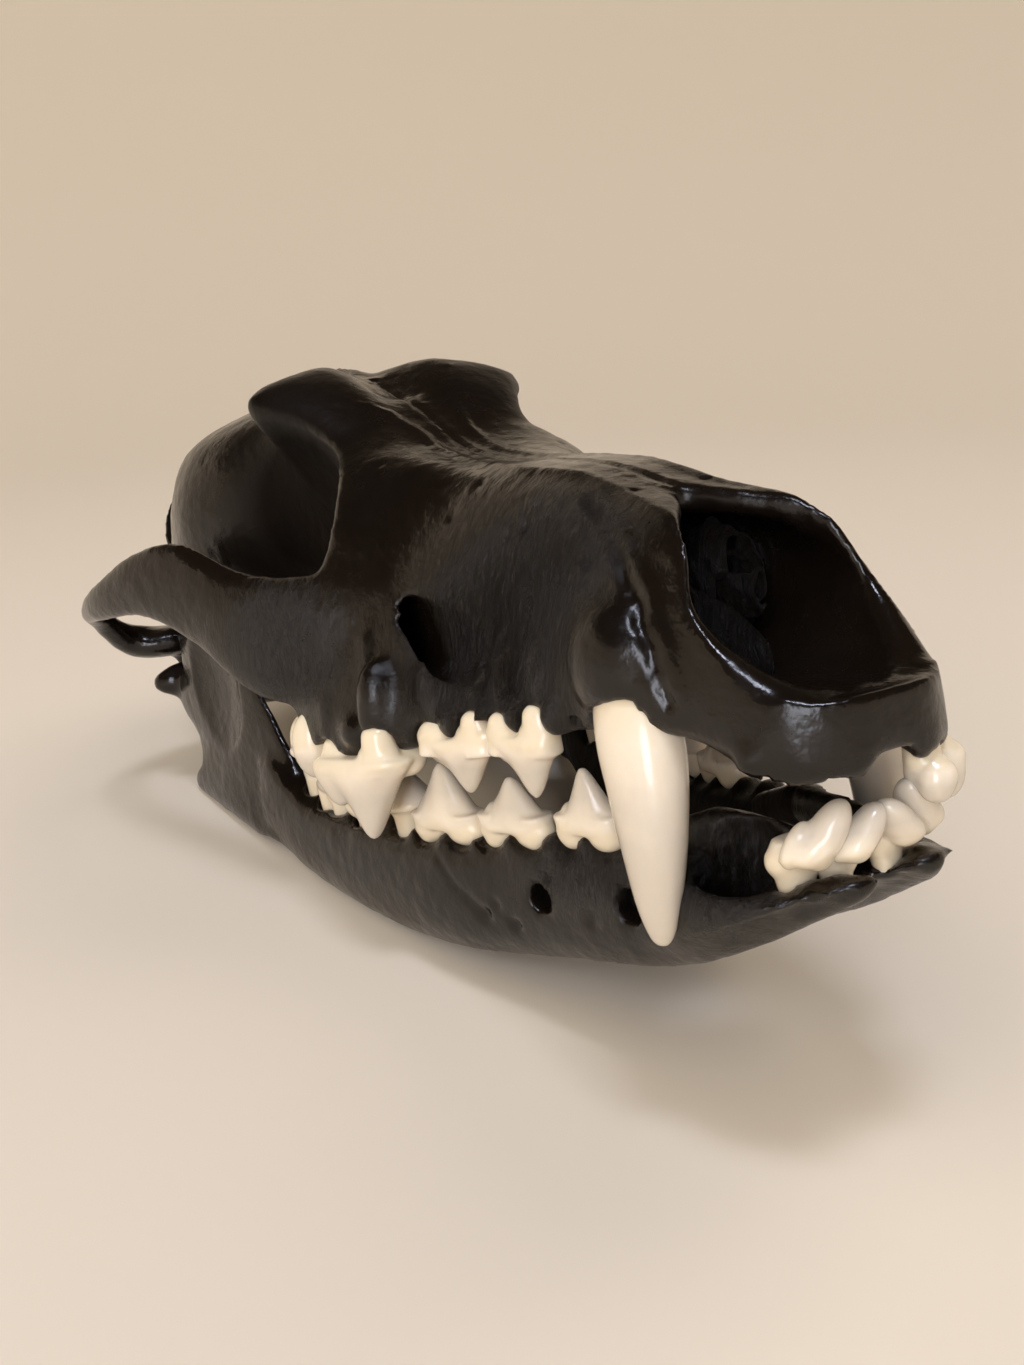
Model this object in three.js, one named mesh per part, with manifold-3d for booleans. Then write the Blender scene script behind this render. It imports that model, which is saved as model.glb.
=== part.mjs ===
import * as THREE from "three";
import { mergeVertices } from "three/addons/utils/BufferGeometryUtils.js";
import Module from "manifold-3d";

// A coyote skull, with the cranium on its closed lower jaw, at life size in millimetres.
// The bones are drawn in the frame of the upper jaw: x to the animal's left, y from the
// front of the premaxilla back along the palate, and z up from the rims of the sockets.
// A point or line drawn for the left side is mirrored by its sign for the right one.

const CREST_END = 199;
const PALATE_LENGTH = 98;
const ZYGOMATIC_WIDTH = 103;
const BRAINCASE_WIDTH = 61;
const POSTORBITAL_WIDTH = 49;
const CONSTRICTION_WIDTH = 34;
const INTERORBITAL_WIDTH = 35;
const SNOUT_WIDTH = 34;
const CREST_HEIGHT = 62.5;
const OCCIPUT_Y = 180.5;
const OCCIPUT_SLOPE = THREE.MathUtils.degToRad(24);
const CONDYLE_AT = [33, 151.5, 7];
const CONDYLE_RADII = [8.6, 4, 3.6];

// Clearance between pieces that touch in life, and the room left round a tooth
const JOINT_GAP = 0.35;
const TOOTH_GAP = 0.6;
// Nose-up tilt of the palate when the lower jaw rests on a level floor
const REST_PITCH = THREE.MathUtils.degToRad(-13.5);
const FLAT_DEPTH = 0.5;

const SIDES = { left: 1, right: -1 };

const wasm = await Module();
wasm.setup();

// A closed geometry as a solid whose faces point out
function solidOf(geometry) {
  const bare = new THREE.BufferGeometry();
  bare.setAttribute("position", geometry.getAttribute("position").clone());
  bare.setIndex(geometry.index ? geometry.index.clone() : null);
  const merged = mergeVertices(bare, 1e-3);
  const vertProperties = merged.attributes.position.array;
  const triVerts = new Uint32Array(merged.index.array);
  const made = new wasm.Manifold(new wasm.Mesh({ numProp: 3, vertProperties, triVerts }));
  if (made.volume() > 0) return made;
  triVerts.reverse();
  return new wasm.Manifold(new wasm.Mesh({ numProp: 3, vertProperties, triVerts }));
}

const join = (solids) => solids.reduce((sum, solid) => sum.add(solid));
const cut = (solid, cutters) => cutters.reduce((rest, cutter) => rest.subtract(cutter), solid);

// The largest closed surface of a solid
function largestBody(solid) {
  return solid.decompose().reduce((a, b) => (b.volume() > a.volume() ? b : a));
}

// A smooth line through a few [place, value] pairs, level past its ends
function line(...pairs) {
  const place = pairs.map((pair) => pair[0]);
  const value = pairs.map((pair) => pair[1]);
  const last = pairs.length - 1;
  const slope = pairs.map((_, i) => {
    const before = Math.max(i - 1, 0);
    const after = Math.min(i + 1, last);
    return (value[after] - value[before]) / (place[after] - place[before]);
  });
  return (at) => {
    if (at <= place[0]) return value[0];
    if (at >= place[last]) return value[last];
    const i = place.findIndex((p) => p > at) - 1;
    const step = place[i + 1] - place[i];
    const t = (at - place[i]) / step;
    const s = 1 - t;
    return (
      value[i] * (1 + 2 * t) * s * s +
      value[i + 1] * (1 + 2 * s) * t * t +
      slope[i] * step * t * s * s -
      slope[i + 1] * step * s * t * t
    );
  };
}

// A closed skin of rings. ringAt(t) gives a function from the turn (0 to 1) to a point,
// and the ends are closed with flat caps.
function skin(rings, around, ringAt) {
  const rows = rings + 1;
  const sphere = new THREE.SphereGeometry(1, around, rows);
  const { position } = sphere.attributes;
  for (let row = 0; row <= rows; row++) {
    const t = THREE.MathUtils.clamp((row - 1) / (rings - 1), 0, 1);
    const ring = ringAt(t);
    const points = Array.from({ length: around }, (_, k) => ring(k / around));
    const middle = points.reduce((sum, p) => sum.add(p), new THREE.Vector3()).divideScalar(around);
    for (let k = 0; k <= around; k++) {
      const i = row * (around + 1) + k;
      const point = row === 0 || row === rows ? middle : points[k % around];
      position.setXYZ(i, point.x, point.y, point.z);
    }
  }
  return solidOf(sphere);
}

// A skin along y. outline(y) lists [x, z] of the half section from the top middle to the
// bottom middle, which is mirrored and rounded.
function symmetricLoft(from, to, rings, around, outline) {
  return skin(rings, around, (t) => {
    const y = THREE.MathUtils.lerp(from, to, t);
    const half = outline(y).map(([x, z]) => new THREE.Vector3(x, y, z));
    const other = half.slice(1, -1).reverse().map((p) => new THREE.Vector3(-p.x, y, p.z));
    const curve = new THREE.CatmullRomCurve3([...half, ...other], true, "catmullrom", 0.5);
    return (turn) => curve.getPoint(turn);
  });
}

// A ball stretched to three radii, turned and moved
function ellipsoid([x, y, z], [rx, ry, rz], turn = [0, 0, 0], around = 12, rows = 7) {
  const ball = new THREE.SphereGeometry(1, around, rows);
  ball.scale(rx, ry, rz);
  ball.applyMatrix4(new THREE.Matrix4().makeRotationFromEuler(new THREE.Euler(...turn)));
  ball.translate(x, y, z);
  return solidOf(ball);
}

// A round rod between two points, with a radius at each end
function rod(from, to, startRadius, endRadius, around = 8, squeeze = 1) {
  const start = new THREE.Vector3(...from);
  const end = new THREE.Vector3(...to);
  const length = start.distanceTo(end);
  const geometry = new THREE.CylinderGeometry(endRadius, startRadius, length, around);
  geometry.scale(squeeze, 1, 1);
  const aim = new THREE.Quaternion().setFromUnitVectors(
    new THREE.Vector3(0, 1, 0),
    end.clone().sub(start).normalize(),
  );
  geometry.applyQuaternion(aim);
  const middle = start.add(end).multiplyScalar(0.5);
  geometry.translate(middle.x, middle.y, middle.z);
  return solidOf(geometry);
}

// Lines of the snout and face, each by y
const dorsal = line([0, 15], [12, 21.5], [28, 25.7], [40, 29.6], [52, 32], [68, 34], [82, 38.3],
  [90, 43], [98, 48.5], [108, 53.5], [116, 56]);
const socketRim = line([0, -4.9], [6, -4.1], [9, -1.8], [13, 0.2], [25, 2.1], [45, 0.9], [60, -0.6],
  [71, -2.4], [82, -2.4], [94, -0.8], [98, 0.6]);
const socketWidth = line([-1.2, 4], [0, 6.6], [2, 9.4], [5, 11.6], [12, 14], [20, SNOUT_WIDTH / 2 + 0.6],
  [30, 17], [42, 18.5], [56, 22], [66, 27], [78, 31.5], [87, 31.5], [94, 28], [98, 23], [101, 16]);
const roofWidth = line([-1, 3], [3, 6], [12, 8.2], [30, 9], [55, 9.5], [70, 12.5], [82, 18.5], [98, 17]);
const roofDrop = line([0, 1], [60, 1.5], [82, 1.2], [98, 4]);
const cheekWidth = line([-1.2, 4], [0, 6.4], [4, 10], [12, 12.2], [25, 15.3], [40, 15.3], [60, 18.5],
  [72, 24], [82, 29], [90, 29], [98, 23]);
const cheekRise = line([0, 3], [20, 5], [98, 5]);

function faceOutline(y) {
  const rim = socketRim(y);
  const wide = socketWidth(y);
  const top = dorsal(y);
  return [
    [0, top],
    [roofWidth(y), top - roofDrop(y)],
    [cheekWidth(y), THREE.MathUtils.lerp(rim, top, 0.55)],
    [wide, rim + cheekRise(y)],
    [wide - 1.5, rim],
    [wide * 0.55, rim + 2],
    [0, rim + 2.6],
  ];
}

// Lines of the frontal bones and the braincase, each by y
const crestLine = line([106, 52], [113, 55], [124, 59], [140, 61.8], [158, CREST_HEIGHT], [176, 61.6],
  [190, 59], [CREST_END, 55]);

const braincaseTop = line([70, 30], [82, 37], [90, 42], [98, 47.5], [108, 52.8], [116, 56], [126, 57.5],
  [140, 59.5], [158, 60.5], [176, 59], [188, 56], [198, 52]);
const humpWidth = line([70, 8], [90, 9.5], [112, 11], [126, 7], [150, 10], [180, 9], [198, 7]);
const humpRise = line([70, -1], [90, 1.2], [108, 3.2], [118, 1], [130, -2.5], [160, -2.5], [198, -3]);
const browWidth = line([70, 14], [82, 19], [92, INTERORBITAL_WIDTH / 2], [106, 21.5], [116, 17],
  [126, CONSTRICTION_WIDTH / 2 - 1], [140, 22], [152, 25.5], [168, 24.5], [184, 20.5], [198, 16]);
const browHeight = line([70, 26], [82, 34], [92, 41.5], [106, 50], [116, 50], [126, 48.5], [140, 50],
  [160, 50], [180, 46], [198, 42]);
const sideWidth = line([70, 14], [92, 13.5], [110, 14], [126, CONSTRICTION_WIDTH / 2], [138, 25.5],
  [150, BRAINCASE_WIDTH / 2], [168, 30], [184, 26.5], [198, 22]);
const sideHeight = line([70, 20], [92, 28], [126, 36], [150, 35], [180, 29], [198, 28]);
const lowWidth = line([70, 9], [100, 9.5], [126, 11], [142, 19], [156, 25], [174, 25], [186, 20], [198, 16]);
const lowHeight = line([70, 12], [100, 14], [126, 20], [150, 17], [180, 14], [198, 16]);
const braincaseBase = line([70, 9], [100, 11], [150, 10], [180, 9], [198, 10]);

function braincaseOutline(y) {
  const top = braincaseTop(y);
  return [
    [0, top],
    [humpWidth(y), top + humpRise(y)],
    [browWidth(y), browHeight(y)],
    [sideWidth(y), sideHeight(y)],
    [lowWidth(y), lowHeight(y)],
    [0, braincaseBase(y)],
  ];
}

// The zygomatic arch: its outer face by y, and the upper and lower edges of the plate
const ARCH = {
  path: [[19, 70], [33.5, 89], [41, 102], [46.5, 113], [50.3, 125], [ZYGOMATIC_WIDTH / 2, 136],
    [49.5, 146], [44, 154], [35, 159], [26, 161]],
  upper: [22, 24.3, 31.2, 30.8, 27.8, 25.4, 23.5, 19.6, 17.6, 17.6],
  lower: [5, 4.8, 14.9, 20.3, 20.8, 20.6, 19.5, 13.4, 11.8, 11.8],
  thick: [8, 7, 5, 4.2, 3.8, 3.8, 4.4, 6, 8, 9],
};

function zygomaticArch(sign) {
  const points = (heights) => ARCH.path.map(([x, y], i) => new THREE.Vector3(sign * x, y, heights[i]));
  const upper = new THREE.CatmullRomCurve3(points(ARCH.upper));
  const lower = new THREE.CatmullRomCurve3(points(ARCH.lower));
  const count = ARCH.path.length - 1;
  const thick = line(...ARCH.thick.map((value, i) => [i / count, value]));
  return skin(17, 8, (t) => {
    const high = upper.getPoint(t);
    const low = lower.getPoint(t);
    const middle = high.clone().add(low).multiplyScalar(0.5);
    const reach = high.clone().sub(low).multiplyScalar(0.5);
    const across = upper.getTangent(t).cross(new THREE.Vector3(0, 0, 1)).normalize();
    return (turn) => {
      const angle = turn * 2 * Math.PI;
      return middle
        .clone()
        .addScaledVector(reach, Math.cos(angle))
        .addScaledVector(across, (Math.sin(angle) * thick(t)) / 2);
    };
  });
}

// The crest along the top of the braincase
function sagittalCrest() {
  const start = 112;
  return skin(9, 6, (t) => {
    const y = THREE.MathUtils.lerp(start, CREST_END - 1, t);
    const top = crestLine(y);
    const foot = top - line([0, 12], [0.8, 12], [1, 4])(t);
    const half = line([0, 5], [0.2, 2.2], [1, 1.8])(t);
    const corners = [[0, top], [half * 0.5, top - 1], [half * 2, foot], [0, foot - 1],
      [-half * 2, foot], [-half * 0.5, top - 1]];
    return (turn) => {
      const [x, z] = corners[Math.round(turn * 6) % 6];
      return new THREE.Vector3(x, y, z);
    };
  });
}

// The opening of the nose, its pocket, and the notch between the tips of the nasal bones
function noseCutters() {
  const rimLine = new THREE.Shape();
  rimLine.moveTo(-20, 3.6);
  [[1, 3.8], [4, 5.3], [8, 8.8], [11, 12], [12.4, 15], [13.2, 18], [13.8, 21], [13.8, 40], [-20, 40]]
    .forEach(([y, z]) => rimLine.lineTo(y, z));
  const front = new THREE.ExtrudeGeometry(rimLine, { depth: 60, bevelEnabled: false });
  front.translate(0, 0, -30);
  // Turns the drawing's plane so that its first axis is y, its second z, and its depth x
  front.applyMatrix4(
    new THREE.Matrix4().makeBasis(
      new THREE.Vector3(0, 1, 0),
      new THREE.Vector3(0, 0, 1),
      new THREE.Vector3(1, 0, 0),
    ),
  );
  const notch = new THREE.Shape();
  notch.moveTo(-9.8, 5);
  [[-9.4, 12.5], [-8, 16.6], [-5.9, 19.2], [0, 28.2], [5.9, 19.2], [8, 16.6], [9.4, 12.5], [9.8, 5]]
    .forEach(([x, y]) => notch.lineTo(x, y));
  const slot = new THREE.ExtrudeGeometry(notch, { depth: 30, bevelEnabled: false });
  slot.translate(0, 0, 12);
  const pocket = symmetricLoft(-6, 46, 7, 18, (y) => {
    const top = dorsal(Math.max(y, 12)) - line([12, 2.6], [46, 9])(y);
    const low = line([-6, 4.2], [20, 4.8], [46, 8])(y);
    const wide = line([-6, 7.8], [14, 9.6], [30, 9.4], [46, 5])(y);
    return [[0, top], [wide * 0.7, top - 1.5], [wide, THREE.MathUtils.lerp(low, top, 0.6)],
      [wide * 0.8, low + 2.5], [wide * 0.4, low], [0, low]];
  });
  return [solidOf(front), solidOf(slot), pocket];
}

// Both rows of teeth. at: [x, y] of the middle of the crown, long and wide: crown sizes,
// rim: z of the socket, neck: z where the crown starts, roots: [x, y] of each root,
// cusps: [share of the length forward of the middle, share of the width out, tip z, girth]
const UPPER_TEETH = {
  incisor1: { at: [2.2, -0.6], long: 3.6, wide: 4, rim: -4.4, neck: -5.5, turn: 84, roots: [[2.2, 1]],
    cusps: [[0, 0, -9, 1]] },
  incisor2: { at: [5.9, 0.9], long: 4.4, wide: 4.6, rim: -4, neck: -5.2, turn: 66, roots: [[5.8, 2.4]],
    cusps: [[0, 0, -9.6, 1]] },
  incisor3: { at: [10, 4.2], long: 5.4, wide: 5.2, rim: -3, neck: -4.6, turn: 42, roots: [[9.6, 5.4]],
    cusps: [[0.1, 0.1, -11.6, 1]] },
  premolar1: { at: [16, 29.5], long: 5, wide: 3.6, rim: 2.3, neck: 0.4, turn: 0, roots: [[15.8, 30]],
    cusps: [[0.1, 0, -3.6, 1]] },
  premolar2: { at: [17.8, 40.5], long: 10.4, wide: 4.6, rim: 2.3, neck: -0.8, turn: 10,
    roots: [[17, 37.2], [18.6, 44.1]], cusps: [[0.05, 0, -7.2, 0.92], [-0.3, 0, -3.4, 0.42]] },
  premolar3: { at: [20.4, 54], long: 12, wide: 5, rim: 1.2, neck: -1.4, turn: 14,
    roots: [[19.2, 49.7], [21.8, 58.3]], cusps: [[0.05, 0, -7.6, 0.85], [-0.34, 0, -4.2, 0.45]] },
  premolar4: { at: [28, 71.2], long: 19.5, wide: 7.4, rim: 0.4, neck: -3.6, turn: 16,
    roots: [[26.9, 65.4], [29.2, 77]],
    cusps: [[0.12, 0.14, -14.2, 0.6], [-0.26, 0.1, -9.8, 0.55], [0.3, -0.4, -6.2, 0.35]] },
  molar1: { at: [26.6, 85.2], long: 12.5, wide: 15, rim: 0.2, neck: -1.6, turn: -10,
    roots: [[28.8, 82.4], [28.4, 88], [21.5, 85.6]],
    cusps: [[0.22, 0.3, -6.6, 0.45], [-0.22, 0.3, -6, 0.45], [0, -0.26, -4.6, 0.5]] },
  molar2: { at: [24, 94.4], long: 6.8, wide: 10.6, rim: 1, neck: -0.6, turn: -16,
    roots: [[26, 94], [21.5, 95]], cusps: [[0.15, 0.3, -4.2, 0.6], [-0.1, -0.25, -3.4, 0.55]] },
};

const LOWER_TEETH = {
  incisor2: { at: [3.4, 3.2], long: 4.6, wide: 4.2, rim: -13.6, neck: -11.6, turn: 74,
    roots: [[3.3, 6.4]], cusps: [[0, 0, -6.6, 1]], lean: -2.4 },
  incisor3: { at: [7.3, 4.8], long: 5.8, wide: 4.6, rim: -14.2, neck: -11.4, turn: 58,
    roots: [[6.6, 8.4]], cusps: [[0.1, 0, -5.4, 0.9], [-0.34, 0, -7.6, 0.5]], lean: -2.6 },
  premolar2: { at: [13.2, 36], long: 9.2, wide: 4.4, rim: -13.2, neck: -11.2, turn: 14,
    roots: [[12.4, 33.1], [14, 39]], cusps: [[0.06, 0.1, -4.4, 0.88], [-0.3, 0, -8.6, 0.45]] },
  premolar3: { at: [16.3, 49.6], long: 10.8, wide: 4.8, rim: -14.6, neck: -12.2, turn: 15,
    roots: [[15.3, 45.9], [17.3, 53.5]], cusps: [[0.06, 0.1, -6.2, 0.86], [-0.32, 0, -9.4, 0.42]] },
  premolar4: { at: [20, 62.8], long: 11.8, wide: 5.4, rim: -15.4, neck: -12.8, turn: 14,
    roots: [[18.9, 58.7], [21.1, 66.9]], cusps: [[0.06, 0.1, -4.8, 0.82], [-0.3, 0, -8.8, 0.42]] },
  molar1: { at: [22.3, 80], long: 21.5, wide: 8, rim: -15, neck: -11.4, turn: 8,
    roots: [[21, 74], [23.2, 85.5]],
    cusps: [[0.3, 0, -6.6, 0.42], [0.04, 0.06, -2.6, 0.5], [-0.34, 0.2, -8, 0.34],
      [-0.32, -0.3, -8.4, 0.3]] },
  molar2: { at: [24.6, 95.6], long: 9.4, wide: 6.8, rim: -13.4, neck: -11, turn: 8,
    roots: [[24.4, 93.4], [25, 97.6]], cusps: [[0.22, 0.1, -8, 0.55], [-0.22, 0, -8.6, 0.5]] },
  molar3: { at: [26, 102.6], long: 4.6, wide: 4.4, rim: -11.6, neck: -9.4, turn: 0,
    roots: [[26, 102.6]], cusps: [[0, 0, -7, 1]] },
};

const LOST_TEETH = {
  upperleft: ["incisor1"],
  upperright: ["incisor1", "incisor2", "incisor3", "premolar1"],
  lowerleft: ["premolar2"],
  lowerright: [],
};

const ROOT_DEPTH = 5;
const ROOT_SIDES = 5;
const THICKEST_ROOT = 2.7;
const CUSP_SIDES = 6;
// Half profile of a cusp from the middle of its base to its tip, in shares of girth and height
const CUSP_PROFILE = [[0, 0], [0.84, 0], [1, 0.26], [0, 1]];

// One tooth, larger all round by grow
function tooth(spec, sign, up, grow = 0) {
  const { at, long, wide, rim, neck, turn, roots, cusps, lean = 0 } = spec;
  const crown = cusps.map(([forward, out, tip, girth]) => {
    const height = Math.abs(tip - neck) + 0.8 + 2 * grow;
    const profile = CUSP_PROFILE.map(([radius, share]) => new THREE.Vector2(radius, share));
    const cusp = new THREE.LatheGeometry(profile, CUSP_SIDES);
    cusp.rotateX((up * Math.PI) / 2);
    cusp.scale((wide / 2) * Math.min(1, girth + 0.25) + grow, (long / 2) * girth + grow, height);
    const { position } = cusp.attributes;
    for (let i = 0; i < position.count; i++) {
      const share = (up * position.getZ(i)) / height;
      position.setY(i, position.getY(i) + share * lean);
    }
    cusp.translate(sign * out * wide, -forward * long, -up * (0.8 + grow));
    cusp.rotateZ(-sign * THREE.MathUtils.degToRad(turn));
    cusp.translate(sign * at[0], at[1], neck);
    return solidOf(cusp);
  });
  const reach = [
    Math.min(wide * 0.4, THICKEST_ROOT) + grow,
    Math.min((long / Math.min(roots.length, 2)) * 0.43, THICKEST_ROOT) + grow,
  ];
  const stems = roots.map(([x, y]) => {
    const near = [THREE.MathUtils.lerp(x, at[0], 0.15), THREE.MathUtils.lerp(y, at[1], 0.15)];
    const end = rim - up * ROOT_DEPTH;
    const start = neck + up * 0.4;
    const root = new THREE.CylinderGeometry(1, 0.8, 1, ROOT_SIDES);
    root.rotateX((up * Math.PI) / 2);
    root.scale(reach[0], reach[1], Math.abs(start - end));
    root.rotateZ(-sign * THREE.MathUtils.degToRad(turn));
    root.translate(sign * near[0], near[1], (start + end) / 2);
    return solidOf(root);
  });
  return join([...crown, ...stems]);
}

// The pit that a lost tooth leaves in the rim of the jaw
function emptySocket(spec, sign, up) {
  const radius = Math.min(spec.wide, spec.long / spec.roots.length) * 0.42;
  return join(
    spec.roots.map(([x, y]) =>
      rod([sign * x, y, spec.rim + up * 4], [sign * x, y, spec.rim - up * 5], radius, radius * 0.6, 8),
    ),
  );
}

// Width of a canine across the jaw as a share of its length along it
const CANINE_NARROW = 0.82;

// An upper canine, swept from its root in the maxilla to its tip beside the lower jaw
function upperCanine(sign, grow = 0) {
  const path = new THREE.CatmullRomCurve3(
    [[13.4, 25.5, 12], [14.1, 21.8, 5], [14.8, 19.5, -2], [15.5, 18.8, -9], [15.5, 19.7, -16],
      [15, 21.2, -21.7]].map(([x, y, z]) => new THREE.Vector3(sign * x, y, z)),
  );
  const half = line([0, 2.4], [0.2, 4.4], [0.32, 5.1], [0.6, 4.1], [0.8, 2.75], [0.93, 1.4], [1, 0.5]);
  return skin(13, 10, (t) => {
    const middle = path.getPoint(t);
    const along = path.getTangent(t);
    const across = new THREE.Vector3(1, 0, 0);
    const ahead = along.clone().cross(across).normalize();
    return (turn) => {
      const angle = turn * 2 * Math.PI;
      return middle
        .clone()
        .addScaledVector(across, Math.cos(angle) * (half(t) * CANINE_NARROW + grow))
        .addScaledVector(ahead, Math.sin(angle) * (half(t) + grow));
    };
  });
}

function teethOf(row, jaw, side, grow = 0) {
  const up = jaw === "lower" ? 1 : -1;
  const kept = Object.keys(row).filter((name) => !LOST_TEETH[jaw + side].includes(name));
  const teeth = kept.map((name) => tooth(row[name], SIDES[side], up, grow));
  if (jaw === "upper") teeth.push(upperCanine(SIDES[side], grow));
  return teeth;
}

function socketsOf(row, jaw, side) {
  const up = jaw === "lower" ? 1 : -1;
  return LOST_TEETH[jaw + side].map((name) => emptySocket(row[name], SIDES[side], up));
}

// Lines of one half of the lower jaw, each by y
const jawMiddle = line([0, 4], [6, 6], [16, 8.2], [26, 9.4], [36, 12], [50, 15.5], [63, 19.3], [80, 22.4],
  [105, 27], [120, 30.5]);
const jawRim = line([0, -13], [8, -14], [16, -13.4], [28, -13.4], [45, -14.6], [65, -15.8], [84, -15],
  [97, -13.6], [104, -11], [112, -6]);
const jawFoot = line([0, -15.5], [4, -17.4], [10, -20.5], [18, -24.3], [28, -27.6], [42, -29.2], [56, -30.8],
  [68, -31.2], [80, -30.8], [95, -28.8], [106, -26.2], [116, -22.5]);
const jawHalf = line([0, 4], [8, 6], [16, 6.2], [26, 4], [40, 3.6], [60, 4], [80, 4.6], [104, 4.4],
  [118, 3]);

function jawBody(sign) {
  return skin(17, 12, (t) => {
    const y = THREE.MathUtils.lerp(0.5, 116, t);
    const high = jawRim(y);
    const low = jawFoot(y);
    const half = jawHalf(y);
    const middle = jawMiddle(y);
    const section = [[0, high], [0.85, high - 1.2], [1.05, (high + low) / 2], [0.75, low + 2.6],
      [0.1, low], [-0.6, low + 2], [-1, (high + low) / 2], [-0.85, high - 1.2]];
    const points = section.map(([x, z]) => new THREE.Vector3(sign * (middle + x * half), y, z));
    const curve = new THREE.CatmullRomCurve3(points, true, "catmullrom", 0.5);
    return (turn) => curve.getPoint(turn);
  });
}

// The upright plate behind the teeth: its front and back edges by z
const ramusFront = line([-21, 105], [-18, 103], [-10, 106], [0, 112], [10, 118], [20, 125], [27, 133],
  [30, 139]);
const ramusBack = line([-21, 124], [-17.5, 141], [-15, 151], [-12.5, 152], [-9, 147.5], [-4, 146.5],
  [1, 151], [5, 152], [9, 147], [15, 145.5], [22, 148], [27, 149.5], [30, 147]);
const ramusMiddle = line([98, 26], [110, 28.6], [125, 31.5], [140, 34], [152, 36.5]);
const ramusHalf = line([-26, 3], [-16, 2.6], [0, 2.2], [15, 1.6], [29, 1]);

function jawRamus(sign) {
  return skin(18, 12, (t) => {
    const z = THREE.MathUtils.lerp(-21, 29.6, t);
    const front = ramusFront(z);
    const back = ramusBack(z);
    const half = ramusHalf(z);
    return (turn) => {
      const angle = turn * 2 * Math.PI;
      const y = (front + back) / 2 + (Math.cos(angle) * (back - front)) / 2;
      const x = ramusMiddle(y) + Math.sin(angle) * half + Math.max(0, z) * 0.06;
      return new THREE.Vector3(sign * x, y, z);
    };
  });
}

function jawCondyle(sign, grow = 0) {
  const [x, y, z] = CONDYLE_AT;
  return ellipsoid([sign * x, y, z], CONDYLE_RADII.map((radius) => radius + grow), [0, 0, 0], 12, 8);
}

// The hollow of the lost lower canine, and of the lost first premolar
function lowerFrontSockets(sign) {
  return [
    ellipsoid([sign * 10.2, 13.9, -11], [4.8, 6.2, 6.2], [0, sign * 0.85, 0], 10, 6),
    rod([sign * 9.6, 13.4, -10], [sign * 8.2, 20, -21.5], 4.2, 2.4, 12),
    rod([sign * 10.6, 27.8, -10], [sign * 10.2, 28.4, -18], 1.9, 1.2, 8),
    rod([sign * 1.4, 3.2, -10], [sign * 1.4, 5.6, -17.5], 1.1, 0.8, 7),
  ];
}

function mandible(side) {
  const sign = SIDES[side];
  // The condyle, and the wall of bone on the inner side of the canine's socket
  const wall = rod([sign * 5.4, 9.5, -11.8], [sign * 5.6, 22, -11], 2.5, 2.3);
  const bone = join([jawBody(sign), jawRamus(sign), jawCondyle(sign), wall]);
  const otherSide = new THREE.BoxGeometry(60, 300, 120);
  otherSide.translate(-sign * (30 - JOINT_GAP / 2), 100, 0);
  const masseterPit = ellipsoid([sign * 36.4, 128, 6], [4, 13, 14], [0, 0, -sign * 0.16]);
  const hollowed = cut(bone, [
    masseterPit,
    ...lowerFrontSockets(sign),
    ...socketsOf(LOWER_TEETH, "lower", side),
    solidOf(otherSide),
  ]);
  const toothed = join([hollowed, ...teethOf(LOWER_TEETH, "lower", side)]);
  return cut(toothed, [solidOf(otherSide), upperCanine(sign, JOINT_GAP)]);
}

// The postorbital process: a blunt point out from the frontal bone
function postorbitalProcess(sign) {
  const reach = 9;
  const middle = [sign * (POSTORBITAL_WIDTH / 2 - reach), 106.5, 51.6];
  return ellipsoid(middle, [reach, 6.5, 3.4], [0, sign * 0.16, 0]);
}

// The wall of the nasal passage behind the palate, down to its hook
function pterygoidWall(sign) {
  return skin(7, 8, (t) => {
    const y = THREE.MathUtils.lerp(94, 128, t);
    const low = line([94, 2], [104, 3], [118, 4], [126, 2.4], [128, 3.4])(y);
    const middle = line([94, 10.5], [110, 9], [128, 8.4])(y);
    return (turn) => {
      const angle = turn * 2 * Math.PI;
      return new THREE.Vector3(
        sign * (middle + 1.4 * Math.sin(angle)),
        y,
        (low + 17) / 2 + ((17 - low) / 2) * Math.cos(angle),
      );
    };
  });
}

function sidePieces(sign) {
  return [
    zygomaticArch(sign),
    postorbitalProcess(sign),
    pterygoidWall(sign),
    // Joint of the lower jaw under the root of the arch, with its stop behind
    ellipsoid([sign * 34.5, 155.5, 14.7], [11, 6.5, 3.1]),
    ellipsoid([sign * 30, 158.6, 11.5], [5.5, 2, 5], [0, 0, 0], 8, 5),
    // Auditory bulla
    ellipsoid([sign * 16.2, 165, 6.6], [8.2, 12, 9], [0.1, 0, sign * 0.25]),
    // Mastoid and the process beside the bulla
    ellipsoid([sign * 24.5, 171, 16], [5.5, 8, 11]),
    rod([sign * 20, 175, 17], [sign * 20.8, 177, 1.5], 5, 1.6, 7, 0.8),
    // Occipital condyle
    ellipsoid([sign * 10.4, 181, 15], [5.4, 8, 7.4], [0.35, 0, sign * 0.45]),
  ];
}

function infraorbitalCanal(sign) {
  const canal = new THREE.CylinderGeometry(1, 1, 44, 8);
  canal.scale(2.1, 1, 5.4);
  canal.rotateZ(sign * 0.065);
  canal.translate(sign * 18.9, 71, 12.4);
  return solidOf(canal);
}

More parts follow.
